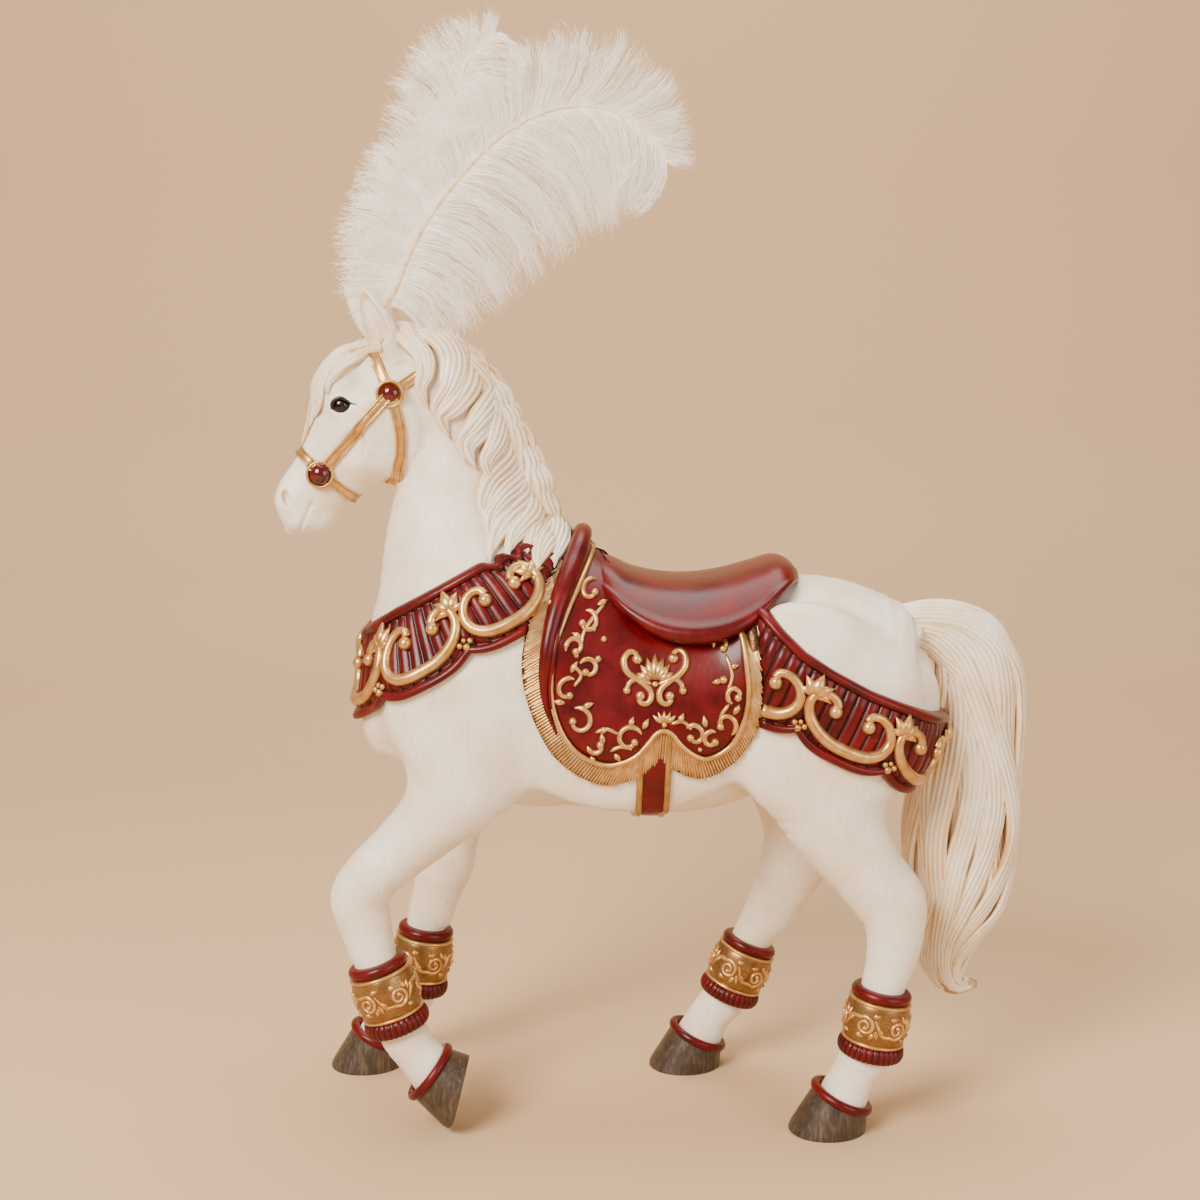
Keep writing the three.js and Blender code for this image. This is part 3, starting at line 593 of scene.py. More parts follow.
def skin(field, low, high, cell, reach=4.0):
    """Points, quads and paint mix (glaze and painted shade) of a field's surface inside a box."""
    low, high = np.array(low, float), np.array(high, float)
    counts = np.ceil((high - low) / cell).astype(int) + 1
    axes = [low[i] + cell * np.arange(counts[i]) for i in range(3)]
    values = np.empty(counts, np.float32)
    yz = np.stack(np.meshgrid(axes[1], axes[2], indexing="ij"), -1).reshape(-1, 2)
    for start in range(0, counts[0], SLAB):
        xs = axes[0][start : start + SLAB]
        points = np.concatenate([np.column_stack([np.full(len(yz), x), yz]) for x in xs])
        values[start : start + SLAB] = field(points).reshape(len(xs), counts[1], counts[2])
    grid = openvdb.FloatGrid(FAR)
    grid.copyFromArray(values)
    points, quads = grid.convertToQuads(0.0)
    points = low + points.astype(float) * cell
    for _ in range(2):
        slope = gradient(field, points)
        points -= slope * (field(points) / np.maximum((slope**2).sum(1), 0.2))[:, None]
    slope = gradient(field, points)
    normal = slope / np.linalg.norm(slope, axis=1)[:, None]
    # Painted shade and glaze: darker where other skin lies close in front, in grooves and under the belly
    near = field(points + normal * reach) / reach
    wide = field(points + normal * reach * 3) / (reach * 3)
    wash = np.clip(1 - (0.6 * near + 0.4 * wide), 0, 1)
    return points, outward(points, quads), wash


# %% The skins of the body and the head
NECK_CUT = ((-98.0, 327.0), (-62.0, 348.0))  # the head's skin lies above this line in the side view
THROAT = (-106.5, 288.0)  # and ahead of and above this point, where the jaw hangs below the line
SEAM = 1.5  # both skins run on past the cut
FILLETS = 26.0  # the neck has the head's fillets this far below the cut
BODY_CELL = 2.2
HEAD_CELL = 0.8


def head_share(points):
    """Positive where the skin is the head's, as a distance from the cut."""
    (x0, z0), (x1, z1) = NECK_CUT
    over = ((points[:, 2] - z0) * (x1 - x0) - (points[:, 0] - x0) * (z1 - z0)) / math.hypot(x1 - x0, z1 - z0)
    jaw = np.minimum(THROAT[0] - points[:, 0], points[:, 2] - THROAT[1])
    return np.maximum(over, jaw)


def neck_field(points):
    """The bare body, with the head's own fillets near the cut so that both skins run on without a step."""
    d = body_field(points)
    near = (head_share(points) > -FILLETS) & (points[:, 2] > THROAT[1] - 8)
    if near.any():
        d[near] = np.minimum(d[near], head_field(points[near]))
    return d


body_points, body_faces, body_wash = skin(
    lambda p: np.maximum(neck_field(p), head_share(p) - SEAM), (-150, -72, 4), (184, 72, 362), BODY_CELL)
head_points, head_faces, head_wash = skin(
    lambda p: np.maximum(head_field(p), -SEAM - head_share(p)), (-170, -30, 286), (-56, 30, 420),
    HEAD_CELL, 2.2)
body = place("body", body_points, body_faces, IVORY, body_wash)
head = place("head", head_points, head_faces, IVORY, head_wash)
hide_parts("horse")

# %% [markdown]
# ## Finding the skin again
#
# Hair and tack lie on the body, so each of their points is found with a ray on the finished skin.

# %% Rays on to the skin, and tubes
all_faces = np.vstack([body_faces, head_faces + len(body_points)])
BODY_TREE = BVHTree.FromPolygons(np.vstack([body_points, head_points]).tolist(), all_faces.tolist())
FAR_OUT = 150.0


def unit(vector):
    vector = np.asarray(vector, float)
    return vector / np.linalg.norm(vector)


def land(origin, direction, lift=0.0):
    """Where a ray meets the skin, moved back along the ray by the lift. None if it misses."""
    hit, normal, _, _ = BODY_TREE.ray_cast(Vector(origin), Vector(direction))
    return None if hit is None else np.array(hit) - unit(direction) * lift


def on_side(x, z, side, lift=0.0):
    """The skin's point at x, z on one flank, and its normal. Over the ridge it is the nearest point."""
    hit, normal, _, _ = BODY_TREE.ray_cast(Vector((x, side * FAR_OUT, z)), Vector((0, -side, 0)))
    if hit is None:
        hit, normal, _, _ = BODY_TREE.find_nearest(Vector((x, side * 4, z)))
    normal = np.array(normal)
    return np.array(hit) + normal * lift, normal


def curve_through(points, count):
    """Points at even distances along a smooth curve through the given ones."""
    dense = resample(points, 12)
    lengths = np.concatenate([[0], np.cumsum(np.linalg.norm(np.diff(dense[:, :3], axis=0), axis=1))])
    wanted = np.linspace(0, lengths[-1], count)
    return np.stack([np.interp(wanted, lengths, dense[:, i]) for i in range(dense.shape[1])], 1)


def frames(path, ups):
    """Side and up directions along a path, with up near the given direction."""
    tangent = np.gradient(path, axis=0)
    tangent /= np.linalg.norm(tangent, axis=1)[:, None]
    side = np.cross(tangent, ups)
    side /= np.maximum(np.linalg.norm(side, axis=1), 1e-6)[:, None]
    return side, np.cross(side, tangent)


def tube_faces(rings, sides, first=0):
    """Quads of a tube and a fan at each end, for rings of points followed by the two end points."""
    faces = []
    for r in range(rings - 1):
        for s in range(sides):
            a, b = r * sides + s, r * sides + (s + 1) % sides
            faces.append((a, b, b + sides, a + sides))
    start, end = rings * sides, rings * sides + 1
    last = (rings - 1) * sides
    for s in range(sides):
        faces.append((start, (s + 1) % sides, s))
        faces.append((end, last + s, last + (s + 1) % sides))
    return faces


def closed(rings):
    """Points and outward faces of a closed loft through rings, an array of ring, side and coordinate."""
    count, sides, _ = rings.shape
    points = np.vstack([rings.reshape(-1, 3), rings[0].mean(0), rings[-1].mean(0)])
    faces = tube_faces(count, sides)
    volume = 0.0
    for face in faces:
        for b, c in zip(face[1:], face[2:]):
            volume += np.dot(points[face[0]], np.cross(points[b], points[c]))
    return points, faces if volume > 0 else [face[::-1] for face in faces]


def sweep(path, radii, ups, sides=10, flat=1.0):
    """A round or flattened tube along a path with a radius at each point."""
    path, radii = np.asarray(path, float), np.broadcast_to(np.asarray(radii, float), (len(path),))
    ups = np.broadcast_to(np.asarray(ups, float), path.shape)
    side, up = frames(path, ups)
    angle = np.linspace(0, 2 * math.pi, sides, endpoint=False)
    across, high = np.cos(angle)[None, :, None], np.sin(angle)[None, :, None] * flat
    scale = radii[:, None, None]
    return closed(path[:, None] + (side[:, None] * across + up[:, None] * high) * scale)


# %% [markdown]
# ## Hair
#
# A lock is one tapered ribbon with a crowned face and rounded strands side by side. The strands run
# together at its tip, and the glaze lies between them, with painted shade there and under the lock.

# %% Mane, forelock and tail
LOCK_TAPER = ([0, 0.1, 0.35, 0.65, 0.85, 0.95, 1], [0.62, 0.85, 1, 0.9, 0.56, 0.26, 0.04])


def lock(path, ups, half_width, crown, strands=5, rings=24, drift=0.25, phase=0.0, taper=LOCK_TAPER):
    """Points, faces and paint mix of one lock of hair along a path, with glaze and painted shade."""
    path = curve_through(np.hstack([path, ups]), rings)
    path, ups = path[:, :3], path[:, 3:]
    side, up = frames(path, ups)
    share = np.linspace(0, 1, rings)
    width = half_width * np.interp(share, *taper)
    over = np.linspace(-1, 1, strands * 5 + 1)
    under = np.linspace(1, -1, strands + 3)[1:-1]
    face = np.concatenate([over, under])
    wander = face[None, :] * strands / 2 + drift * np.sin(4.2 * share + phase)[:, None]
    ridge = np.abs(np.cos(math.pi * wander)) ** 0.8
    ridge[:, len(over):] = 0
    dome = np.sqrt(np.clip(1 - np.abs(face) ** 2.4, 0, 1))
    dome[len(over):] *= -0.7
    groove = 0.66 * width / strands
    height = dome[None, :] * (crown * (width / half_width) ** 0.8)[:, None]
    height = height + (ridge - 0.6) * groove[:, None] * (dome[None, :] > 0.02)
    spread = side[:, None] * (face[None, :, None] * width[:, None, None])
    points, faces = closed(path[:, None] + spread + up[:, None] * height[..., None])
    # Painted shade and glaze: darker between the strands, towards the edges and on the underside
    wash = 0.62 - 0.62 * ridge + 0.22 * np.abs(face)[None, :] ** 3
    wash[:, len(over):] = 0.75
    return points, faces, np.concatenate([np.clip(wash, 0, 1).ravel(), [0.4, 0.1]])


# Spines of the mane's locks on the side of the neck, x and z, from the crest to the tip, and half width
MANE = [
    (5.4, [(-97, 394), (-92, 387), (-85, 380), (-83.5, 372), (-86, 365), (-83, 357)]),
    (8, [(-88, 391), (-78, 386), (-72, 377), (-73, 366), (-78, 357), (-79, 351)]),
    (9, [(-78, 388), (-68, 381), (-65, 369), (-70, 358), (-76, 351), (-73, 343)]),
    (8, [(-69, 384), (-58, 374), (-55, 361), (-61, 348), (-67, 339), (-66, 331)]),
    (9, [(-61, 378), (-52, 366), (-53, 355), (-60, 344), (-64, 336), (-61, 328)]),
    (8, [(-53, 368), (-49, 353), (-52, 339), (-56, 329), (-53, 320)]),
    (9, [(-48, 360), (-43, 344), (-46, 330), (-54, 320), (-57, 308), (-53, 300)]),
    (8, [(-42, 350), (-37, 336), (-41, 321), (-49, 311), (-54, 301), (-54, 291)]),
    (9, [(-37, 339), (-33, 325), (-39, 313), (-46, 304), (-51, 294), (-54, 283)]),
    (8, [(-32, 328), (-29, 316), (-35, 303), (-42, 294), (-46, 284)]),
    (8, [(-28, 318), (-27, 306), (-33, 295), (-38, 284)]),
    (8, [(-25, 308), (-25, 297), (-29, 287), (-32, 277)]),
    (7, [(-21, 299), (-21, 290), (-24, 280)]),
]
CREST = [
    (-106, 0, 389), (-96, 0, 390), (-81, 0, 385), (-66, 0, 373), (-56, 0, 354), (-48, 0, 336), (-39, 0, 316),
    (-30, 0, 299), (-22, 0, 287),
]


def mane():
    """Locks that leave the crest one over the other and fall to both sides of the neck."""
    parts = Parts()
    crest = curve_through(CREST, 40)
    points, faces = sweep(crest, 6.5, np.array([0, 1.0, 0]), 12)
    # The crest under the locks is painted darker: painted shade
    parts.add(points, faces, 0.7)
    roots = np.array([(-108, 390.5), (-103, 392)] + [spine[0] for _, spine in MANE], float)
    for side in (-1, 1):
        for i, (half, spine) in enumerate(MANE):
            spine = np.array(spine, float) + [0 if side < 0 else 2.5, 0]
            layer = 1.0 if i % 2 == 0 else 2.0
            rows = []
            for j, (x, z) in enumerate(roots[i : i + 3]):
                run = roots[min(i + j + 1, len(roots) - 1)] - roots[max(i + j - 1, 0)]
                crown = unit([-run[1], 0, run[0]]) * (1 if run[0] > 0 else -1)
                inset = (3.2, 1.4, 0.2)[j]
                rows.append((x - crown[0] * inset, side * (0.6 + 0.8 * j), z - crown[2] * inset,
                             crown[0], side * (0.15, 0.35, 0.7)[j], crown[2]))
            for j, (x, z) in enumerate(spine[1:], 1):
                at, normal = on_side(x, z, side)
                rows.append((*(at + normal * (layer + 1.2 * math.sin(math.pi * j / len(spine)))), *normal))
            rows = np.array(rows)
            parts.add(*lock(rows[:, :3], rows[:, 3:], half, 3.6, 5, 34, 0.3, i * 1.7))
            thin = rows[2:].copy()
            thin[:, :3] += thin[:, 3:] * 1.4
            thin[:, 0] -= np.linspace(4.5, 1.0, len(thin))
            thin[-1, :3] += [2.0, 0, -2.5]
            parts.add(*lock(thin[:, :3], thin[:, 3:], half * 0.45, 2.6, 2, 22, 0.2, i * 2.3))
    return parts.place("mane", HAIR_PAINT, "ivory_paint")


# Spines of the forelock's locks on the temples, x and z, from the poll down, and half width
TEMPLES = [
    (4.4, [(-105, 388), (-112, 386.5), (-120, 382.5), (-127.5, 376), (-132.5, 367.5), (-134.5, 359),
           (-138, 351)]),
    (3.6, [(-105, 385), (-112, 382.5), (-119, 378.2), (-125, 373.5), (-129.5, 368), (-131, 362.5)]),
    (3.2, [(-106, 389), (-114, 388), (-123, 383), (-130.5, 375), (-135, 366), (-137.5, 357), (-141.5, 346)]),
]
FORELOCK_TAPER = ([0, 0.2, 0.5, 0.8, 0.93, 1], [0.5, 0.85, 1, 0.7, 0.4, 0.08])


def forelock():
    """Locks that part at the poll and sweep down over the forehead."""
    parts = Parts()
    for side in (-1, 1):
        for i, (half, spine) in enumerate(TEMPLES):
            ends = []
            for j, (x, z) in enumerate(spine):
                ends.append(on_side(x, z, side, 0.3 + math.sin(math.pi * j / len(spine))))
            path, ups = (np.array(part) for part in zip(*ends))
            parts.add(*lock(path, ups, half, 2.6, 3, 26, 0.5, 1.9 * i + side, FORELOCK_TAPER))
    for i, y in enumerate((-11, -7, -2.5, 2.5, 6.5, 10.5)):
        reach = (46, 52, 58, 70, 66, 56)[i]
        rows = []
        for share in np.linspace(0, 1, 7):
            s = -10 + reach * share
            spread = y * (0.35 + 0.75 * math.sin(min(share * 1.6, 1.4)))
            spot = head_point(s, 60.0, spread + 2.0 * math.sin(3 * share + i))
            aim = np.array([-BROW[0], 0, -BROW[1]])
            at = land(spot, aim, 1.0 + 1.2 * math.sin(math.pi * share))
            if at is None:
                continue
            normal = unit([BROW[0], spread * 0.03, BROW[1]])
            rows.append((*at, *normal))
        rows = np.array(rows)
        parts.add(*lock(rows[:, :3], rows[:, 3:], 5.4, 2.8, 4, 24, 0.35, i * 1.3))
    return parts.place("forelock", HAIR_PAINT, "ivory_paint")


TAIL = [
    (144, 0, 246, 11, 11), (160, 0, 247, 13, 13), (175, 0, 243, 17, 15), (187, 0, 233, 21, 17),
    (190, 0, 215, 24, 18), (188, 0, 195, 27, 19), (186, 0, 172, 29, 20), (184, 0, 148, 31, 20),
    (183, 0, 126, 30, 19), (182, 0, 106, 26, 18), (178, 0, 89, 20, 16), (177, 0, 73, 15, 12),
    (182, 0, 61, 9, 9), (194, 0, 60, 2.5, 3),
]
TAIL_TAPER = ([0, 0.05, 0.3, 0.75, 0.9, 1], [0.5, 0.8, 1, 0.85, 0.5, 0.12])


def tail():
    """Two layers of long locks that wind round the tail's line and meet in the upturned tip."""
    parts = Parts()
    rows = resample(TAIL, 6)
    line = rows[:, :3]
    tangent = np.gradient(line, axis=0)
    tangent /= np.linalg.norm(tangent, axis=1)[:, None]
    out = np.stack([tangent[:, 2], np.zeros(len(line)), -tangent[:, 0]], 1)
    count = len(rows)
    layers = [(13, 0.72, 0.0), (15, 0.9, 0.2)]  # number of locks, depth in the tail, turn
    for layer, (number, depth, turn) in enumerate(layers):
        for i in range(number):
            base = 2 * math.pi * (i + turn) / number
            start = 0.0 if i % 3 else 0.03
            stop = 1.0 - (0.0, 0.07, 0.03, 0.11)[(i + layer) % 4]
            shares = np.linspace(start, stop, 15)
            path, ups = [], []
            for share in shares:
                at = share * (count - 1)
                k = min(int(at), count - 2)
                f = at - k
                row = rows[k] * (1 - f) + rows[k + 1] * f
                o = unit(out[k] * (1 - f) + out[k + 1] * f)
                angle = base + 0.42 * math.sin(share * 7.5 + 0.5 * layer) + 0.2 * math.sin(share * 13 + i)
                swell = depth + 0.07 * math.sin(share * 11 + i * 2.1)
                across = np.array([0, 1.0, 0])
                offset = o * math.cos(angle) * (row[3] - 2.5) + across * math.sin(angle) * (row[4] - 2)
                path.append(row[:3] + offset * swell)
                ups.append(unit(o * math.cos(angle) + across * math.sin(angle)))
            half = 8.2 if layer == 0 else 7.0
            parts.add(*lock(np.array(path), np.array(ups), half, 3.2, 5, 46, 0.5, i * 1.9, TAIL_TAPER))
    core = rows.copy()
    core[:, 3:] *= 0.72
    rings = []
    angle = np.linspace(0, 2 * math.pi, 16, endpoint=False)
    for row, o in zip(core, out):
        oval = np.outer(np.cos(angle) * row[3], o) + np.outer(np.sin(angle) * row[4], [0, 1, 0])
        rings.append(row[:3] + oval)
    # The core between the locks is painted dark: painted shade
    parts.add(*closed(np.array(rings)), 0.9)
    return parts.place("tail", HAIR_PAINT, "ivory_paint")


mane()
forelock()
tail()

# %% [markdown]
# ## Red lacquer, gilding and hoof paint
#
# The tack is painted in a deep crimson lacquer that has pooled dark in the folds, and the scrolls in gold
# paint that is rubbed back to brown in the hollows; painted shade darkens the same folds and hollows. What
# sets them apart is on the shader: lacquer has a thin clear coat, and gold paint is mostly metallic. Each
# has a pattern as large as its real brush marks.


# %% The paints of the tack and the hooves
def red_material():
    """Brushed crimson lacquer: a soft shine, streaks along the brush, almost black in the grooves.

    The grooves hold pooled lacquer and painted shade.
    """
    made, tree, shader = new_material("crimson lacquer", "#5a0409", 0.36, specular_ior_level=0.25,
                                      coat_weight=0.08, coat_roughness=0.2)
    where = object_mm(tree)
    cloud, streak = mottle(tree, where, 14, 4), mottle(tree, where, 1.6, 3, (1, 1, 6))
    tone = add_node(tree, RAMP, {"Fac": cloud},
                    stops=[(0.25, "#3a0105"), (0.5, "#590308"), (0.78, "#72060c")])
    streaked = add_node(tree, RAMP, {"Fac": streak}, stops=[(0.35, "#ffffff"), (0.75, "#a8706c")])
    patchy_darkening = add_node(tree, MIX, {0: 0.3, 6: tone, 7: streaked}, 2, **GLAZED)
    # Painted shade with the pooled lacquer: almost black in the grooves
    hollows_and_shade = add_node(tree, RAMP, {"Fac": wash_of(tree)},
                    stops=[(0.0, "#ffffff"), (0.3, "#ffffff"), (0.75, "#4a2626"), (1.0, "#140606")])
    shaded = add_node(tree, MIX, {0: 1.0, 6: patchy_darkening, 7: hollows_and_shade}, 2, **GLAZED)
    uneven = add_node(tree, MATH, {0: cloud, 1: 0.3, 2: 0.18}, operation="MULTIPLY_ADD")
    brush_on(tree, shader, shaded, add_node(tree, MATH, {0: streak, 1: cloud}, operation="ADD"), 0.06, uneven)
    return made


def gold_material(name="antique gilding", light="#e6bb7b", mid="#c8924f", deep="#4a280c"):
    """Gold paint rubbed back to brown in the hollows: warm metal that glints on every ridge.

    The hollows also carry painted shade.
    """
    made, tree, shader = new_material(name, mid, 0.32, metallic=0.8)
    where = object_mm(tree)
    cloud, fine = mottle(tree, where, 5, 4), mottle(tree, where, 0.8)
    tone = add_node(tree, RAMP, {"Fac": cloud}, stops=[(0.3, mid), (0.7, light)])
    patchy = add_node(tree, MATH, {0: fine, 1: 0.6}, operation="ADD")
    # Painted shade with the paint rubbed back to brown in the hollows
    hollows_and_shade = add_node(tree, MATH, {0: wash_of(tree), 1: patchy}, operation="MULTIPLY")
    rubbed_and_shaded = add_node(tree, MIX, {0: hollows_and_shade, 6: tone, 7: deep}, 2, data_type="RGBA")
    uneven = add_node(tree, MATH, {0: fine, 1: 0.25, 2: 0.2}, operation="MULTIPLY_ADD")
    brush_on(tree, shader, rubbed_and_shaded, fine, 0.05, uneven)
    return made


def hoof_material():
    """Brown paint dragged down the wall with a dry brush: darker between the strokes."""
    made, tree, shader = new_material("brushed hoof paint", "#3a3029", 0.38, specular_ior_level=0.5)
    where = object_mm(tree)
    streak, cloud = mottle(tree, where, 1.3, 4, (1, 1, 7)), mottle(tree, where, 11)
    patchy = add_node(tree, MATH, {0: cloud, 1: 0.4}, operation="MULTIPLY")
    strokes = add_node(tree, MATH, {0: streak, 1: 0.7, 2: patchy}, operation="MULTIPLY_ADD")
    tone = add_node(tree, RAMP, {"Fac": strokes},
                    stops=[(0.3, "#1d1510"), (0.55, "#3e3127"), (0.8, "#66543f")])
    brush_on(tree, shader, tone, streak, 0.12)
    return made


RED, GOLD, HOOF = red_material(), gold_material(), hoof_material()

# %% [markdown]
# ## Hooves, coronet bands and cuffs
#
# Each foot is built upright in its own frame and turned into place. The cuff has a red ring at the top, an
# embossed gold band that bellies out, and a pleated red ring below.


# %% Feet and cuffs
def turned_about(line_from, line_to, side):
    """A frame whose z axis runs up a leg from the lower to the upper point of the side view."""
    low, high = np.array([line_from[0], side, line_from[1]]), np.array([line_to[0], side, line_to[1]])
    up = unit(high - low)
    ahead = np.cross([0, 1.0, 0], up)
    return low, ahead, np.array([0, 1.0, 0]), up, np.linalg.norm(high - low)


def lathe(frame_of, profile, sides, ripple=None):
    """A turned shape: (height, radius) rows in a leg's frame. ripple(angle, row) adds to the radius."""
    low, ahead, across, up, _ = frame_of
    angle = np.linspace(0, 2 * math.pi, sides, endpoint=False)
    rings, waves = [], []
    for i, (height, radius) in enumerate(profile):
        extra = np.zeros(sides) if ripple is None else ripple(angle, i)
        r = radius + extra
        round_it = np.outer(np.cos(angle) * r, ahead) + np.outer(np.sin(angle) * r, across)
        rings.append(low + up * height + round_it)
        waves.append(extra)
    return (*closed(np.array(rings)), np.concatenate([np.array(waves).ravel(), [0, 0]]))


def ring_profile(height, radius, thick, tall, inner=2.5):
    """Rows of a rounded ring with its middle at a height, closed on the inside."""
    rows = [(height - tall / 2, radius - inner)]
    for angle in np.radians(np.linspace(-90, 90, 7)):
        rows.append((height + tall / 2 * math.sin(angle), radius + thick * math.cos(angle)))
    rows.append((height + tall / 2, radius - inner))
    return rows


def cuff(row, reds, golds):
    top, bottom = row["cuff"]
    place_in = turned_about(bottom, top, row["foot"]["side"])
    length = place_in[4]
    points, faces, _ = lathe(place_in, ring_profile(length * 0.93, 12.6, 2.3, length * 0.15), 48)
    reds.add(points, faces, 0.12)
    body_rows = [(length * 0.22, 12), (length * 0.24, 14.4), (length * 0.3, 15.1)]
    for t in np.linspace(0.36, 0.74, 6):
        body_rows.append((length * t, 15.1 + 0.9 * math.sin(math.pi * (t - 0.3) / 0.5)))
    body_rows += [(length * 0.8, 15.1), (length * 0.84, 14.4), (length * 0.86, 12)]
    points, faces, _ = lathe(place_in, body_rows, 56)
    golds.add(points, faces, 0.62)
    for height in (0.245, 0.835):
        points, faces, _ = lathe(place_in, ring_profile(length * height, 14.4, 1.1, 1.8), 48)
        golds.add(points, faces, 0.1)

    def pleat(angle, i):
        return (0.75 * np.abs(np.sin(angle * 17)) - 0.4) * (1.0 if 1 <= i <= 7 else 0.0)

    points, faces, wave = lathe(place_in, ring_profile(length * 0.11, 13.6, 2.6, length * 0.24), 136, pleat)
    # Painted shade and glaze: the hollows between the pleats are darker
    reds.add(points, faces, np.where(wave < -0.05, 0.9, 0.1))
    emboss(place_in, length, golds)


def ball(parts, centre, radius, wash=0.0):
    """A small sphere."""
    angles = np.linspace(-90, 90, 8)[1:-1]
    around = np.linspace(0, 2 * math.pi, 12, endpoint=False)
    rings = []
    for a in np.radians(angles):
        flat = np.stack([np.cos(around), np.sin(around), np.zeros(12)], 1) * math.cos(a)
        rings.append(np.asarray(centre) + (flat + [0, 0, math.sin(a)]) * radius)
    points, faces = closed(np.array(rings))
    points[-2] = np.asarray(centre) - [0, 0, radius]
    points[-1] = np.asarray(centre) + [0, 0, radius]
    parts.add(points, faces, wash)


def petal(parts, points, ups, width, flat=0.75):
    path = curve_through(points, 9)
    radii = width * np.array([0.3, 0.62, 0.88, 1.0, 1.0, 0.85, 0.6, 0.32, 0.08])
    made, faces = sweep(path, radii, ups, 10, flat)
    # Painted shade and glaze: darker at the leaf's foot, where it meets the surface
    parts.add(made, faces, np.concatenate([np.repeat([0.6, 0.4, 0.2, 0.05, 0, 0, 0, 0, 0], 10), [0.6, 0]]))


VOLUTES = 6  # scrolls round a cuff
STEM = [(-11.5, 3.6), (-9.6, 0.4), (-7.4, -3.4)]
# Leaves beside a volute: place of the foot, heading in degrees and length
SPRAY = [
    (5.6, 1.0, 75, 5.2), (6.6, 0.2, 40, 4.6), (5.0, 2.6, 118, 4.6), (-4.2, 4.6, 20, 4.4),
    (3.0, -5.4, -12, 4.2),
]


def emboss(place_in, length, golds):
    """Raised arabesque on a cuff: a stem that winds into one volute after another, with leaves between."""
    low, ahead, across, up, _ = place_in

    def wrap(u, v, lift=0.1):
        t = 0.54 + v / length
        radius = 15.0 + 0.9 * max(0.0, math.sin(math.pi * (t - 0.3) / 0.5)) + lift
        turn = u / 15.6
        return low + up * length * t + (ahead * math.cos(turn) + across * math.sin(turn)) * radius

    def off_cuff(u):
        return ahead * math.cos(u / 15.6) + across * math.sin(u / 15.6)

    pitch = 2 * math.pi * 15.6 / VOLUTES
    for i in range(VOLUTES):
        sign, u0 = (1 if i % 2 else -1), pitch * i
        turns = np.linspace(0, 1, 26)
        angle, size = np.radians(-150 + 590 * turns), 4.9 * (1 - 0.76 * turns)
        spiral = np.stack([size * np.cos(angle), size * np.sin(angle)], 1)
        flat = curve_through([(x, y, 0) for x, y in STEM + spiral[1:].tolist()], 54)[:, :2] * [1, sign]
        path = [wrap(u0 + u, v) for u, v in flat]
        radii = np.interp(np.linspace(0, 1, 54), [0, 0.1, 0.5, 1], [0.3, 0.95, 1.1, 0.75])
        golds.add(*sweep(path, radii, np.array([off_cuff(u0 + u) for u, _ in flat]), 6, 0.85), 0.05)
        ball(golds, wrap(u0 + flat[-1, 0], flat[-1, 1], 0.3), 1.15, 0.05)
        for u, v, heading, long in SPRAY:
            a = math.radians(heading)
            leaf = []
            for t in (0, 0.5, 1):
                leaf.append(wrap(u0 + u + math.cos(a) * long * t, sign * (v + math.sin(a) * long * t)))
            petal(golds, leaf, off_cuff(u0 + u), 1.25)


HOOF_STEPS = (0.0, 0.0, 0.03, 0.08, 0.2, 0.35, 0.5, 0.65, 0.8, 0.92, 1.0, 1.02)
CORONET_HALF_WIDTH = 14.6


def foot(row, hooves, reds):
    """A hoof whose wall leans from the sole up to the coronet, and the rounded red band at its top."""
    def at(x, y, z):
        return foot_point(row["foot"], x, y, z)

    front, rear = np.array(HOOF_TOP["front"], float), np.array(HOOF_TOP["rear"], float)
    middle, along = (front + rear) / 2, unit(rear - front)
    half_top, half_sole = np.linalg.norm(rear - front) / 2, HOOF_LENGTH / 2
    blunt = 3.4 if row["foot"]["turn"] else 1.2  # the raised foot's toe is rounded off where it rests
    rings = []
    for share in HOOF_STEPS:
        ring = []
        for a in np.linspace(0, 2 * math.pi, 40, endpoint=False):
            cx, cy = -math.cos(a), math.sin(a)
            shape = 1.0 + 0.03 * math.cos(2 * a)
            sole = np.array([half_sole + cx * half_sole * shape, 0.0])
            point = sole * (1 - share) + (middle + along * cx * half_top) * share
            nose = blunt * max(0.0, math.cos(a)) ** 3 * max(0.0, 1 - share / 0.12)
            flare = 1 + 0.02 * math.sin(math.pi * share)
            wide = (HOOF_WIDTH / 2 * (1 - share) + CORONET_HALF_WIDTH * share) * cy * shape * flare
            ring.append(at(point[0] + nose, wide, point[1] + nose * 0.5))
        ring = np.array(ring)
        if not rings:  # the sole's first ring lies just inside its edge
            ring = ring * 0.93 + ring.mean(0) * 0.07
        rings.append(ring)
    hooves.add(*closed(np.array(rings)), 0.0)
    raised = middle + 1.2 * np.array([-along[1], along[0]])
    centre = at(raised[0], 0, raised[1])
    onward = middle + along
    ahead = at(onward[0], 0, onward[1]) - at(middle[0], 0, middle[1])
    turns = np.linspace(0, 2 * math.pi, 49)[:-1]
    path = centre + np.outer(np.cos(turns) * (half_top - 0.3), ahead)
    path = path + np.outer(np.sin(turns) * (CORONET_HALF_WIDTH - 0.2), [0, 1, 0])
    add_loop(reds, path, 2.3, np.cross(ahead, [0, 1.0, 0]), 10, 0.15)


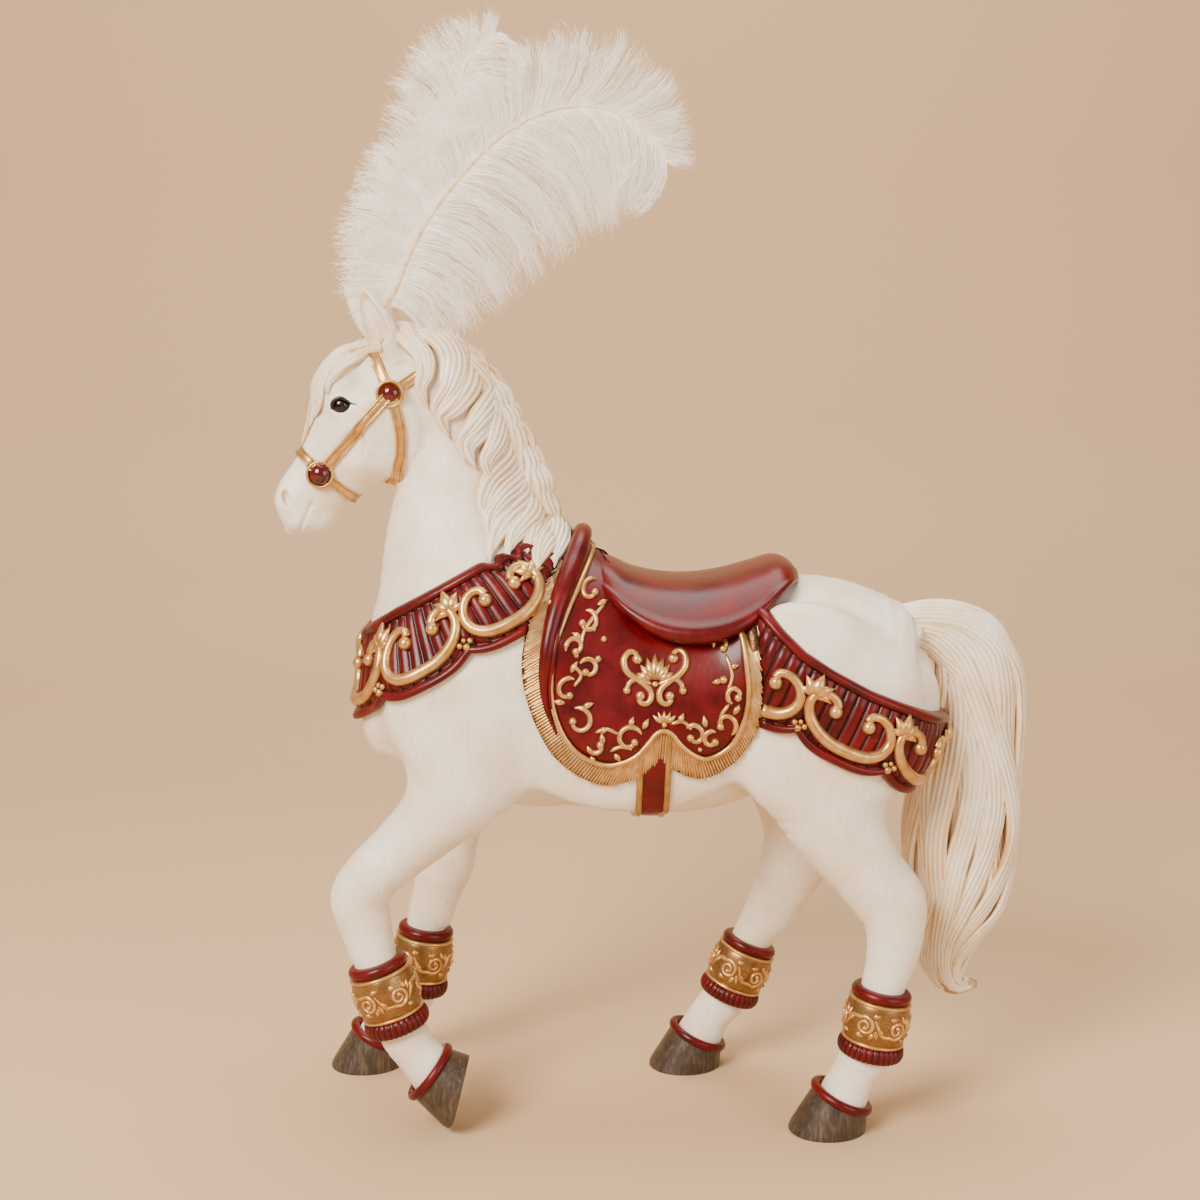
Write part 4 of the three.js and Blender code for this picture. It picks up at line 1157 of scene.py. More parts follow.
def add_loop(parts, path, radius, up, sides, wash):
    """A closed ring of tube along a loop of points."""
    count = len(path)
    tangent = np.roll(path, -1, 0) - np.roll(path, 1, 0)
    tangent /= np.linalg.norm(tangent, axis=1)[:, None]
    out = np.cross(tangent, up)
    out /= np.linalg.norm(out, axis=1)[:, None]
    angle = np.linspace(0, 2 * math.pi, sides, endpoint=False)
    turned = out[:, None] * np.cos(angle)[None, :, None] + unit(up) * np.sin(angle)[None, :, None]
    points = (path[:, None] + radius * turned).reshape(-1, 3)
    faces = []
    for r in range(count):
        for s in range(sides):
            a, b = r * sides + s, r * sides + (s + 1) % sides
            c, d = (r + 1) % count * sides + (s + 1) % sides, (r + 1) % count * sides + s
            faces.append((a, b, c, d))
    parts.add(points, outward(points, faces), wash)


reds, golds, hooves = Parts(), Parts(), Parts()
for row in LEGS.values():
    cuff(row, reds, golds)
    foot(row, hooves, reds)
hooves.place("hooves", HOOF, "hoof_paint")
reds.place("cuff_rings", RED, "red_lacquer")
golds.place("cuff_bands", GOLD, "gold_paint")

# %% [markdown]
# ## Bands round the breast and the quarters
#
# The collar and the breeching each lie on a ring round the body: `along` is the distance round it from the
# middle of the horse, `height` the place across the band. A ray towards the ring's hub finds the skin, so
# the bands, their planks and their scrolls all follow the body.


# %% The collar and the breeching
class Band:
    def __init__(self, centre, towards, pitch, units):
        self.hub = np.array([centre[0], 0.0, centre[1]])
        self.ahead = unit([towards[0], 0.0, towards[1]])
        self.up = np.array([-self.ahead[2], 0.0, self.ahead[0]]) * np.sign(towards[0])
        self.pitch, self.units = pitch, units
        self.turns = np.linspace(0, 2.8, 90)
        points = np.array([self.hit(turn, 0.0, 0.0) for turn in self.turns])
        self.lengths = np.concatenate([[0], np.cumsum(np.linalg.norm(np.diff(points, axis=0), axis=1))])

    def out(self, turn):
        return self.ahead * math.cos(turn) - np.array([0, math.sin(turn), 0])

    def hit(self, turn, height, lift):
        out = self.out(turn)
        return land(self.hub + self.up * height + out * FAR_OUT, -out, lift)

    def turn(self, along):
        return math.copysign(float(np.interp(abs(along), self.lengths, self.turns)), along)

    def at(self, along, height, lift=0.0):
        return self.hit(self.turn(along), height, lift)

    def middles(self):
        return [(i - (self.units - 1) / 2) * self.pitch for i in range(self.units)]

    def cusps(self):
        return [middle + self.pitch / 2 for middle in self.middles()[:-1]]

    def swell(self, along):
        """0 at a cusp between two scrolls, 1 in the middle of a scroll."""
        u = (along / self.pitch + (self.units - 1) % 2 / 2 + 0.5) % 1.0 - 0.5
        return 1 - abs(2 * u) ** 3.2


# Rolled edges of a band: distance from the edge, height over the skin, glaze with painted shade
EDGE_ROLL = [
    (0.6, -1.5, 0.6), (-0.2, 1.2, 0.6), (0.0, 3.4, 0.25), (1.1, 5.0, 0.0), (2.7, 5.3, 0.0), (4.1, 4.3, 0.2),
    (4.8, 2.7, 1.0),
]
# Planks of a band: place in the plank's pitch, height over the field, glaze with painted shade
PLANK = [
    (0.0, -1.0, 1.0), (0.09, -0.2, 0.45), (0.16, 0.3, 0.0), (0.5, 0.5, 0.0), (0.84, 0.3, 0.0),
    (0.91, -0.2, 0.45),
]
PLANK_PITCH = 5.9
FIELD = 3.2  # the band's field over the skin


def band_mesh(band, reach, top_of, bottom_of, parts):
    """The red band from one end to the other, as a closed loft of columns."""
    count = int(reach / PLANK_PITCH) + 1
    columns = []
    for i in range(-count, count):
        columns += [(PLANK_PITCH * (i + share), lift, glaze_and_shade) for share, lift, glaze_and_shade in PLANK]
    columns = [column for column in columns if abs(column[0]) <= reach]
    rings, wash = [], []
    for along, rib, glaze_and_shade in columns:
        turn = band.turn(along)
        low, high = bottom_of(along), top_of(along)
        rows = [(low + d, lift, g) for d, lift, g in EDGE_ROLL]
        rows += [(low + 5.2 + (high - low - 10.4) * t, FIELD + rib, glaze_and_shade) for t in np.linspace(0, 1, 7)]
        rows += [(high - d * 0.95, lift * 1.06, g) for d, lift, g in reversed(EDGE_ROLL)]
        ring = []
        for height, lift, _ in rows:
            sunk = min(1.0, under_fringe(band.hit(turn, height, lift)) / 3)
            ring.append(band.hit(turn, height, lift - sunk * (lift + 1.5)))
        rings.append(ring)
        wash.append([g for _, _, g in rows])
    points, faces = closed(np.array(rings))
    parts.add(points, faces, np.concatenate([np.array(wash).ravel(), [0.5, 0.5]]))


# Right half of a C scroll: share of the pitch, place across the band, radius. It ends in a ball.
SCROLL = [
    (0.0, -10.4, 3.1), (0.14, -10.0, 3.1), (0.27, -8.2, 3.0), (0.38, -4.6, 2.8), (0.44, 0.0, 2.6),
    (0.445, 4.4, 2.4), (0.40, 8.4, 2.3), (0.30, 10.6, 2.2), (0.20, 9.6, 2.2), (0.165, 6.8, 2.4),
]
BALL = (0.18, 4.6, 3.3)
SCROLL_SHEAR = 0.2  # the scrolls lean back along the band


def band_scroll(band, middle, shift, parts):
    half = resample(SCROLL, 4)
    whole = np.vstack([half[::-1] * [-1, 1, 1], half[1:]])

    def place_on(a, v, lift):
        lean = math.copysign(SCROLL_SHEAR * (v + 9), middle or 1)
        return band.at(middle + a * band.pitch + lean, v + shift, lift)

    path = np.array([place_on(a, v, FIELD + 1.1) for a, v, _ in whole])
    ups = np.array([band.out(band.turn(middle + a * band.pitch)) for a, _, _ in whole])
    clear = np.array([under_fringe(point) < 1.5 for point in path])
    if clear.sum() < 6:
        return
    first, last = np.nonzero(clear)[0][[0, -1]] + [0, 1]
    if not clear[first:last].all():  # both arms pass under the fringe: the outer one is kept
        breaks = np.nonzero(~clear[first:last])[0] + first
        first, last = (first, breaks[0]) if breaks[0] - first > last - breaks[-1] else (breaks[-1] + 1, last)
    points, faces = sweep(path[first:last], whole[first:last, 2], ups[first:last], 12)
    parts.add(points, faces, 0.08)
    for sign in (-1, 1):
        a, v, radius = BALL
        if under_fringe(place_on(sign * a, v, FIELD)) < 1.5:
            ball(parts, place_on(sign * a, v, FIELD + 1.6), radius, 0.05)

# Petals of a fleur: lean in radians, length and half width
FLEUR = [(-0.72, 8.0, 2.1), (0.72, 8.0, 2.1), (0.0, 9.2, 2.4), (-1.5, 6.6, 1.3), (1.5, 6.6, 1.3)]


def fleur(band, middle, shift, parts, size=1.3):
    """An upright spray of petals between two scrolls, a bead at its foot and a blossom under the cusp."""
    up = band.out(band.turn(middle))
    foot = 6.5 + shift
    if under_fringe(band.at(middle, foot)) > 4:
        return
    for lean, long, wide in FLEUR:
        spine = []
        for share in (0.0, 0.5, 1.0):
            bow, way = lean * (0.55 + 0.45 * share), long * share * size
            lift = FIELD + 1.5 + 0.8 * math.sin(math.pi * share)
            spine.append(band.at(middle + math.sin(bow) * way, foot + math.cos(bow) * way, lift))
        petal(parts, spine, up, wide * size)
    ball(parts, band.at(middle, foot - 1.4, FIELD + 1.8), 1.9, 0.1)
    ball(parts, band.at(middle, foot - 4.4, FIELD + 1.4), 1.1, 0.1)
    for dx, dh, radius in ((0, -14.5, 1.9), (-2.4, -12.6, 1.5), (2.4, -12.6, 1.5), (0, -11.2, 1.3)):
        ball(parts, band.at(middle + dx, foot + dh - 2.2, FIELD + 1.5), radius, 0.15)


FRINGE = [
    (-17.3, 292.4), (-21.6, 281.1), (-26.8, 271.6), (-32, 262.1), (-35.3, 251.2), (-37.3, 239),
    (-36.9, 227.5), (-33.9, 215.2), (-29.4, 203.6), (-22.6, 192.4), (-13.8, 184.6), (-5, 179.8),
    (3.8, 177.8), (12.6, 179.8), (20.5, 183.7), (25.7, 188.5), (28.5, 191), (31.9, 188.5), (38.1, 183.7),
    (47.2, 180.7), (55.7, 182.7), (64.7, 188.5), (70.8, 196.3), (75, 205), (76.7, 215.9), (77.1, 227.5),
    (76.2, 239), (75.4, 247.8), (73.9, 257),
]
FRINGE_EDGE = np.vstack([curve_through([(x, z, 0) for x, z in FRINGE], 160)[:, :2], [(40, 290), (5, 305)]])


def under_fringe(point):
    """How deep a point lies inside the fringe's outline in the side view, and 0 outside it."""
    x, z = point[0], point[2]
    a, b = FRINGE_EDGE, np.roll(FRINGE_EDGE, -1, 0)
    crossing = (a[:, 1] > z) != (b[:, 1] > z)
    at = a[:, 0] + (z - a[:, 1]) / np.where(crossing, b[:, 1] - a[:, 1], 1) * (b[:, 0] - a[:, 0])
    if (crossing & (x < at)).sum() % 2 == 0:
        return 0.0
    return float(np.hypot(a[:, 0] - x, a[:, 1] - z).min())


collar = Band((-62, 257), (-0.875, -0.485), 42.5, 6)
breeching = Band((110, 209.7), (0.9, -0.434), 45, 7)
TAB_TURNS = (2.22, 2.45)  # two rounded tabs at each end of the collar, beside the mane


def collar_top(along):
    turn = abs(collar.turn(along))
    tabs = sum(4.5 * max(0.0, 1 - ((turn - tab) / 0.1) ** 2) for tab in TAB_TURNS)
    return 18.0 + 2.6 * min(1.0, abs(along) / 50) - 5.5 * max(0.0, min(1.0, (turn - 2.0) / 0.15)) + tabs


def collar_bottom(along):
    return -13.6 - 5.2 * collar.swell(along)


# turn in radians from behind the tail, and the height of the top edge there
BREECHING_TOP = ([0, 0.6, 0.75, 1.13, 1.41, 1.75, 2.0, 2.2, 2.35, 2.8],
                 [24, 24, 23.2, 22, 21.3, 22.4, 24.5, 28.8, 33, 40])


def breeching_sink(along):
    """The hindmost scrolls sit a little higher on the band than the others."""
    return 2.6 * max(0.0, 1 - abs(along) / 55)


def breeching_top(along):
    return float(np.interp(abs(breeching.turn(along)), *BREECHING_TOP))


def breeching_bottom(along):
    return -12.2 + breeching_sink(along) - 5.6 * breeching.swell(along)


bands, gilding = Parts(), Parts()
collar_end = float(np.interp(2.7, collar.turns, collar.lengths))
last_fleur = float(np.interp(2.5, collar.turns, collar.lengths)) - 10.5
breeching_end = float(np.interp(2.5, breeching.turns, breeching.lengths))
band_mesh(collar, collar_end, collar_top, collar_bottom, bands)
band_mesh(breeching, breeching_end, breeching_top, breeching_bottom, bands)
for band, raised in ((collar, lambda along: 0.0), (breeching, lambda along: breeching_sink(along) + 1.0)):
    for middle in band.middles():
        band_scroll(band, middle, raised(middle), gilding)
    for cusp in band.cusps():
        fleur(band, cusp, raised(cusp), gilding)
for along in (-last_fleur, last_fleur):
    fleur(collar, along, -3.5, gilding, 1.1)
bands.place("collar_and_breeching", RED, "red_lacquer")
gilding.place("band_scrolls", GOLD, "gold_paint")

# %% [markdown]
# ## The saddle cloth
#
# On each flank the cloth is a panel that lies on the ribs. A gold cord runs along its edge, a padded roll
# down its front, and a fringe hangs from it all round.

# %% Panels, rolls and cords
PIPING = [
    (-3.3, 289.1), (-6.1, 280.3), (-11, 269.5), (-16.2, 258.3), (-21.7, 243.5), (-23.2, 230.1), (-22, 216.6),
    (-18, 205), (-11.9, 196.3), (-4.3, 191.5), (2.9, 189.5), (10, 190.5), (17.1, 193.9), (22.3, 199.2),
    (26.6, 204.1), (30.1, 205.3), (33.7, 203.8), (38, 198.7), (43.3, 194.4), (49.5, 191.9), (55.6, 193.9),
    (61.8, 198.7), (66, 205.5), (69.2, 214.2), (70.7, 223.9), (70.2, 234.4), (69.3, 244.5), (67.8, 252.1),
    (66.8, 258),
]
PANEL_MIDDLE = (25.0, 243.0)
PANEL_TOP = [(60, 257), (45, 254), (28, 256), (14, 264), (3, 278)]
CLOTH_LIFT = 3.0


def on_panel(x, z, side, lift):
    """A point over the skin of a flank, and the flank's normal there."""
    at, normal = on_side(x, z, side)
    return at + normal * lift, normal


def panel(parts, side):
    """Rings of points from the middle of the panel to its edge, closed behind."""
    outline = curve_through([(x, z, 0) for x, z in PIPING + PANEL_TOP + PIPING[:1]], 150)[:-1, :2]
    middle = np.array(PANEL_MIDDLE)
    shares = list(np.linspace(0.06, 0.94, 12)) + [0.985, 1.0, 1.0]
    lifts = [CLOTH_LIFT] * 12 + [CLOTH_LIFT - 0.2, CLOTH_LIFT - 1.0, -2.0]
    rings = []
    for share, lift in zip(shares, lifts):
        rings.append([on_panel(*(middle + (edge - middle) * share), side, lift)[0] for edge in outline])
    points, faces = closed(np.array(rings))
    points[-2] = on_panel(*middle, side, CLOTH_LIFT)[0]
    points[-1] = on_panel(*middle, side, -12.0)[0]
    # Painted shade and glaze along the panel's edge, where it turns down to the body
    parts.add(points, faces, np.concatenate([np.repeat([0.0] * 12 + [0.5, 0.7, 0.7], len(outline)), [0, 0]]))


def flank_path(points, side, lift, count):
    """A path on a flank through side view points, with its normals."""
    flat = curve_through([(x, z, 0) for x, z in points], count)[:, :2]
    made = [on_panel(x, z, side, lift) for x, z in flat]
    return np.array([m[0] for m in made]), np.array([m[1] for m in made])


ROLL = [(-13.6, 280, 5.2), (-19.3, 265.5, 4.9), (-23.6, 251, 4.1), (-26, 237, 3.2), (-26.4, 225, 2.4),
        (-24.2, 213.5, 1.7), (-20, 203, 1.0)]
cloth, cords = Parts(), Parts()
for side in (-1, 1):
    panel(cloth, side)
    path, ups = flank_path(PIPING, side, CLOTH_LIFT + 0.7, 150)
    points, faces = sweep(path, 1.25, ups, 10)
    cords.add(points, faces, 0.05)
INNER_ROLL = [
    (-6.5, 286), (-10.4, 276.5), (-15.8, 263.5), (-20.4, 249), (-22.9, 236), (-23.6, 226), (-22.4, 215.5),
]
for side in (-1, 1):
    path, ups = flank_path(INNER_ROLL, side, CLOTH_LIFT + 1.0, 40)
    cloth.add(*sweep(path, 1.4 * np.linspace(1.1, 0.7, 40), ups, 10), 0.0)
roll_rows = resample(ROLL, 4)
near_roll = [(*on_panel(x, z, -1, 1.4 + r * 0.35)[0], r) for x, z, r in roll_rows]
far_roll = [(row[0], -row[1], row[2], row[3]) for row in near_roll]
over = [(-10.4, 19, 288, 4.9), (-9, 10, 292.4, 4.7), (-8.6, 0, 293.6, 4.7)]
over = [(x, -y, z, r) for x, y, z, r in over] + [(x, y, z, r) for x, y, z, r in reversed(over[:2])]
roll_path = curve_through(near_roll[::-1] + over + far_roll, 90)
points, faces = sweep(roll_path[:, :3], roll_path[:, 3], np.array([-1.0, 0, 0.35]), 18)
cloth.add(points, faces, 0.0)
cloth.place("saddle_cloth", RED, "red_lacquer")

# %% [markdown]
# ## Scrollwork on the cloth
#
# A palmette with two mirrored scrolls in the middle, and a border of small C scrolls, sprigs and beads.
# Each is a tapered tube drawn in the side view.


# %% Scrolls, leaves and beads
def curl(centre, radius, start, end, shrink=0.45, count=14):
    """A spiral arc in the side view, angles in degrees, that tightens towards its end."""
    angle = np.radians(np.linspace(start, end, count))
    size = radius * np.linspace(1, shrink, count)
    return np.stack([centre[0] + size * np.cos(angle), centre[1] + size * np.sin(angle)], 1)


def flank_tube(parts, points, side, radius, end_ball=True):
    points = np.asarray(points, float)
    path, ups = flank_path(points, side, CLOTH_LIFT + 0.35, max(12, 3 * len(points)))
    share = np.linspace(0, 1, len(path))
    radii = radius * np.interp(share, [0, 0.15, 0.6, 1], [0.35, 1, 1, 0.8])
    parts.add(*sweep(path, radii, ups, 8), 0.05)
    if end_ball:
        ball(parts, path[-1] + ups[-1] * 0.2, radius * 1.45, 0.05)


def flank_leaf(parts, x, z, heading, length, width, side):
    """A pointed leaf on a flank, its foot at x, z."""
    a = math.radians(heading)
    spine = []
    for t in (0, 0.5, 1):
        lift = CLOTH_LIFT + 0.5 + 0.5 * math.sin(math.pi * t)
        spine.append(on_panel(x + math.cos(a) * length * t, z + math.sin(a) * length * t, side, lift))
    petal(parts, [p for p, _ in spine], spine[1][1], width)


def flank_bead(parts, x, z, radius, side):
    at, normal = on_panel(x, z, side, CLOTH_LIFT + radius * 0.3)
    ball(parts, at, radius, 0.05)


# The centrepiece's scrolls for one half, from its middle in the side view, each with its half thickness
CENTRE_SCROLLS = [
    (1.75, [(1.6, -3.2), (6, -2.0), (10.8, 0.2), (14.2, 3.6), (15.0, 8.0), (12.6, 11.0), (9.4, 10.2),
            (8.8, 7.6)]),
    (1.6, [(10.5, -0.6), (6.2, -2.6), (2.4, -6.2), (2.2, -10.2), (5.0, -12.2), (7.6, -10.6), (7.0, -8.6)]),
    (1.35, [(8.2, -0.4), (12.2, -2.6), (13.4, -6.0)]),
]


def centrepiece(parts, side, x0=26.0, z0=229.5):
    """A palmette of seven leaves over two mirrored pairs of scrolls."""
    for lean in (-66, 66, -42, 42, -20, 20, 0):
        long = 11.4 - abs(lean) * 0.055
        flank_leaf(parts, x0 + lean * 0.028, z0 - 1.5, 90 - lean, long, 2.1, side)
    flank_bead(parts, x0, z0 - 3.4, 1.5, side)
    for sign in (-1, 1):
        for radius, points in CENTRE_SCROLLS:
            flank_tube(parts, np.array(points) * [sign, 1] + [x0, z0], side, radius)
        for angle in (28, 4):
            flank_leaf(parts, x0 + sign * 2.2, z0 - 2.6, 90 - sign * (90 - angle), 6.2, 1.0, side)


# Border: centre of each curl in the side view, radius, first and last angle
BORDER = [
    (-5.0, 267.5, 5.0, 60, 330), (-6.5, 254.0, 5.2, 100, -170), (-12.2, 243.5, 4.6, 200, -80),
    (-5.5, 233.8, 4.8, 150, -130), (-15.0, 224.0, 6.0, 60, 290), (-9.5, 209.5, 6.6, 110, -180),
    (-1.2, 198.2, 4.2, 180, 380), (13.8, 201.5, 6.2, 20, 330), (44.5, 203.2, 5.2, 140, -150),
    (52.5, 201.2, 4.4, 60, 330), (59.2, 208.5, 5.6, -60, 200), (64.0, 222.0, 4.2, 250, -40),
    (58.5, 243.5, 4.2, 200, -60),
]
SPRIGS = [
    [(2.2, 262), (-3, 257), (-8, 250), (-9.5, 243)], [(-13, 236), (-9, 231), (-12, 226)],
    [(5, 196), (10, 198), (15, 197)], [(33, 208.5), (39, 209.5), (43, 206)],
    [(60.5, 240), (63.0, 231), (60.5, 224)], [(61, 218), (57, 212), (58, 206)],
    [(-2.0, 204.5), (3.5, 206), (8.5, 204)],
]
LEAVES = [
    (-2, 261, 20, 5), (-9, 247, 150, 5), (-14, 232, 60, 5.5), (-16, 218, 170, 5.5), (-8, 216, 20, 5),
    (2, 199, 100, 5), (14, 207, 70, 4.5), (20, 206, 60, 5), (37, 209, 60, 4.5), (50, 207, 100, 5),
    (63, 213, 60, 5), (62, 234, 20, 4.5), (58, 228, 190, 4.5), (56, 250, 30, 4.5), (-4, 193.8, -60, 4),
    (7, 195, -50, 4),
]
BEADS = [(2.0, 205.5, 1.3), (-1.0, 238.0, 1.4), (-11.5, 240.0, 1.1), (58.5, 228.5, 1.7), (1.5, 246.5, 1.3),
         (30.2, 208.0, 1.2), (66, 250.5, 1.1), (47.0, 196.5, 1.0), (-3.5, 251, 1.1), (65.2, 216, 1.0)]


def border(parts, side):
    for x, z, radius, start, end in BORDER:
        flank_tube(parts, curl((x, z), radius, start, end), side, 1.3)
    for points in SPRIGS:
        flank_tube(parts, points, side, 1.0, end_ball=False)
    for x, z, heading, length in LEAVES:
        flank_leaf(parts, x, z, heading, length * 1.15, 1.45, side)
    for x, z, radius in BEADS:
        flank_bead(parts, x, z, radius * 1.2, side)
    for lean in (-50, -25, 0, 25, 50):
        flank_leaf(parts, 30.2 + lean * 0.02, 208.6, 90 - lean, 6.0, 1.1, side)


for side in (-1, 1):
    centrepiece(cords, side)
    border(cords, side)

# %% [markdown]
# ## Seat and girth
#
# The seat is a loft of sections across the horse, with a fat rolled rim. The girth is a strap under the
# belly with a cord along each edge.

# %% Seat and girth
SEAT = [
    (-5, 278, 273.5, 13), (-2, 283, 270.5, 27), (6, 281, 264.5, 40), (16, 276.5, 256.5, 48),
    (30, 273.5, 249.5, 53), (46, 273, 247.3, 55), (62, 275.5, 250, 53.5), (76, 279.5, 257.5, 48.5),
    (86, 282.3, 267, 41), (93, 280.5, 272, 31), (97.5, 276, 271.5, 15),
]
# Half a section: share of the half width, and share of the drop from ridge to edge
SEAT_SECTION = [
    (0.0, 0.0), (0.22, 0.012), (0.42, 0.06), (0.58, 0.15), (0.71, 0.29), (0.81, 0.45), (0.885, 0.60),
    (0.925, 0.68), (0.945, 0.70), (0.985, 0.76), (1.015, 0.88), (1.0, 1.0), (0.93, 1.07), (0.8, 1.0),
]


def seat():
    rows = resample(SEAT, 6)
    rings = []
    for x, ridge, edge, half in rows:
        drop = ridge - edge
        right = [(x, half * a, ridge - drop * b) for a, b in SEAT_SECTION]
        left = [(px, -py, pz) for px, py, pz in reversed(right[1:])]
        rings.append(left + right)
    return closed(np.array(rings))


leather = Parts()
leather.add(*seat(), 0.0)

girth_turns = np.linspace(-2.0, 2.0, 80)


def on_belly(turn, offset, lift):
    """A point of the girth: turn runs round the belly from straight down, offset across the strap."""
    out = np.array([0, math.sin(turn), -math.cos(turn)])
    x = 25.2 + 2.2 * (abs(turn) - 0.8) + offset
    return land(np.array([x, 0, 216]) + out * FAR_OUT, -out, lift)


section = [(-5.6, -1), (-5.6, 1.4), (-4.8, 2.0), (0, 2.2), (4.8, 2.0), (5.6, 1.4), (5.6, -1)]
strap_rings = [[on_belly(turn, offset, lift) for offset, lift in section] for turn in girth_turns]
leather.add(*closed(np.array(strap_rings)), 0.1)
leather.place("seat_and_girth", RED, "red_lacquer")
for offset in (-6.6, 6.6):
    path = np.array([on_belly(turn, offset, 1.2) for turn in girth_turns])
    ups = np.array([[0, math.sin(turn), -math.cos(turn)] for turn in girth_turns])
    cords.add(*sweep(path, 1.7, ups, 10), 0.35)
cords.place("cloth_gilding", GOLD, "gold_paint")

# %% [markdown]
# ## Bridle
#
# Straps are ribbons with raised rims. They follow the head by rays from its own axis, and end under the
# bezels of the four rosettes.

# %% Straps, rosettes and cabochons
# Half a strap's section: place across, lift, and glaze with painted shade under the rims and in the groove
HALF_STRAP = [(2.6, -1.4, 0.8), (2.65, 0.8, 0.3), (2.45, 1.4, 0), (2.1, 1.55, 0), (1.8, 1.3, 0.1),
              (1.6, 0.95, 0.7), (1.2, 1.05, 0.1), (0, 1.15, 0.05)]
STRAP = [(-across, lift, glaze_and_shade) for across, lift, glaze_and_shade in HALF_STRAP] + HALF_STRAP[-2::-1]
bridle = Parts()


def ribbon(parts, path, ups):
    path, ups = np.asarray(path, float), np.asarray(ups, float)
    side, up = frames(path, ups)
    across, lift, glaze_and_shade = np.array(STRAP, float).T
    rings = path[:, None] + side[:, None] * across[:, None] + up[:, None] * lift[:, None]
    points, faces = closed(rings)
    parts.add(points, faces, np.concatenate([np.tile(glaze_and_shade, len(path)), [0.5, 0.5]]))


def side_strap(parts, points, side, count=24):
    flat = curve_through([(x, z, 0) for x, z in points], count)[:, :2]
    made = [on_side(x, z, side) for x, z in flat]
    ribbon(parts, [m[0] for m in made], [m[1] for m in made])


def from_inside(origin, direction):
    """Where a ray that starts inside the head leaves it."""
    reach = np.arange(0, 45, 0.2)
    points = np.array(origin, float) + np.outer(reach, direction)
    values = head_field(points)
    k = max(1, int(np.argmax(values > 0)))
    return points[k - 1] + (points[k] - points[k - 1]) * values[k - 1] / (values[k - 1] - values[k])


def round_head(parts, turns, s_of, w_axis, count=60, tilt=0.0):
    """A strap round the head: turns in degrees from the forehead, s_of gives the place along the head."""
    path, ups = [], []
    for turn in np.linspace(*turns, count):
        a = math.radians(turn)
        flat = BROW * math.cos(a) + FACE * (tilt * math.cos(a))
        out = unit([flat[0], math.sin(a), flat[1]])
        at = from_inside(head_point(s_of(abs(turn)), w_axis), out)
        path.append(at)
        ups.append(out)
    path = np.array(path)
    if abs(turns[1] - turns[0]) >= 359:
        path[-1] = path[0]
    ribbon(parts, path, ups)


UPPER, LOWER = (-101, 362.7), (-136.4, 323.5)
round_head(bridle, (0, 360), lambda turn: 62.3, -1.5, 96, -0.11)
BROW_STRAP = ([0, 28, 65, 104], [-4.0, -2.0, 4.2, 10.7])  # degrees from the forehead, place along the head
round_head(bridle, (-104, 104), lambda turn: float(np.interp(turn, *BROW_STRAP)), -2.0)
for sign in (-1, 1):
    flat = curve_through([(x, z, 0) for x, z in (UPPER, (-98, 353), (-96.3, 343), (-96.6, 333))], 18)[:, :2]
    throat = [on_side(x, z, sign) for x, z in flat]
    for turn in np.linspace(22, 88, 16):
        a = math.radians(turn)
        out = unit([-0.26 * math.sin(a), sign * math.cos(a), -math.sin(a)])
        throat.append((from_inside((np.interp(turn, [22, 60, 88], [-95.7, -95.5, -99]), 0, 337), out), out))
    ribbon(bridle, [at for at, _ in throat], [out for _, out in throat])
    side_strap(bridle, [UPPER, LOWER], sign, 30)
    side_strap(bridle, [UPPER, (-94, 367.5), (-85, 373.5)], sign, 16)
for sign in (-1, 1):
    for x, z in (UPPER, LOWER):
        at, _ = on_side(x, z, sign)
        axis = np.array([0, float(sign), 0])
        frame_of = (at, np.array([1.0, 0, 0]), np.array([0, 0, 1.0]), axis, 1)
        rows = [(-4, 6.2), (0.6, 6.9), (2.0, 7.0), (2.9, 6.7), (3.3, 6.15), (3.1, 5.7), (2.4, 5.35),
                (1.2, 5.2), (0.4, 3)]
        points, faces, _ = lathe(frame_of, rows, 40)
        bridle.add(points, faces, 0.05)
bridle.place("bridle", GOLD, "gold_paint")


def ruby_material():
    """Foiled ruby glass: a sharp highlight over a depth that is darker in places."""
    made, tree, shader = new_material("ruby glass", "#7d060b", 0.06, specular_ior_level=0.5,
                                      coat_weight=0.4, coat_roughness=0.03)
    cloud = mottle(tree, object_mm(tree), 4, 2)
    tone = add_node(tree, RAMP, {"Fac": cloud}, stops=[(0.3, "#2e0103"), (0.6, "#520206"), (0.9, "#750509")])
    tree.links.new(tone, shader.inputs["Base Color"])
    return made


RUBY = ruby_material()
for node in ("cabochon_upper_left", "cabochon_upper_right", "cabochon_lower_left", "cabochon_lower_right"):
    low, high = (np.array(corner) * 1000 + [BOX_CENTRE_X, 0, 0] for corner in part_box(node))
    sign = 1.0 if low[1] + high[1] > 0 else -1.0
    middle = (low + high) / 2
    base = low[1] if sign > 0 else high[1]
    dome = [(0.2 + 4.1 * math.sin(a), 5.15 * math.cos(a)) for a in np.radians(np.linspace(0, 84, 12))]
    seat_at, ahead = np.array([middle[0], base, middle[2]]), np.array([1.0, 0, 0])
    frame_of = (seat_at, ahead, np.array([0, 0, 1.0]), np.array([0, sign, 0]), 1)
    rows = [(0.0, 4.6)] + dome
    points, faces, _ = lathe(frame_of, rows, 40)
    gem = place(node.replace("cabochon", "gem"), points, faces, RUBY)
    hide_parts(node)

# %% [markdown]
# ## Eyes
#
# A glass-bright eyeball sits behind the lids. Its `wash` is the distance from the pupil in millimetres
# over ten. A black line is painted along the upper lid, with a short tail behind.


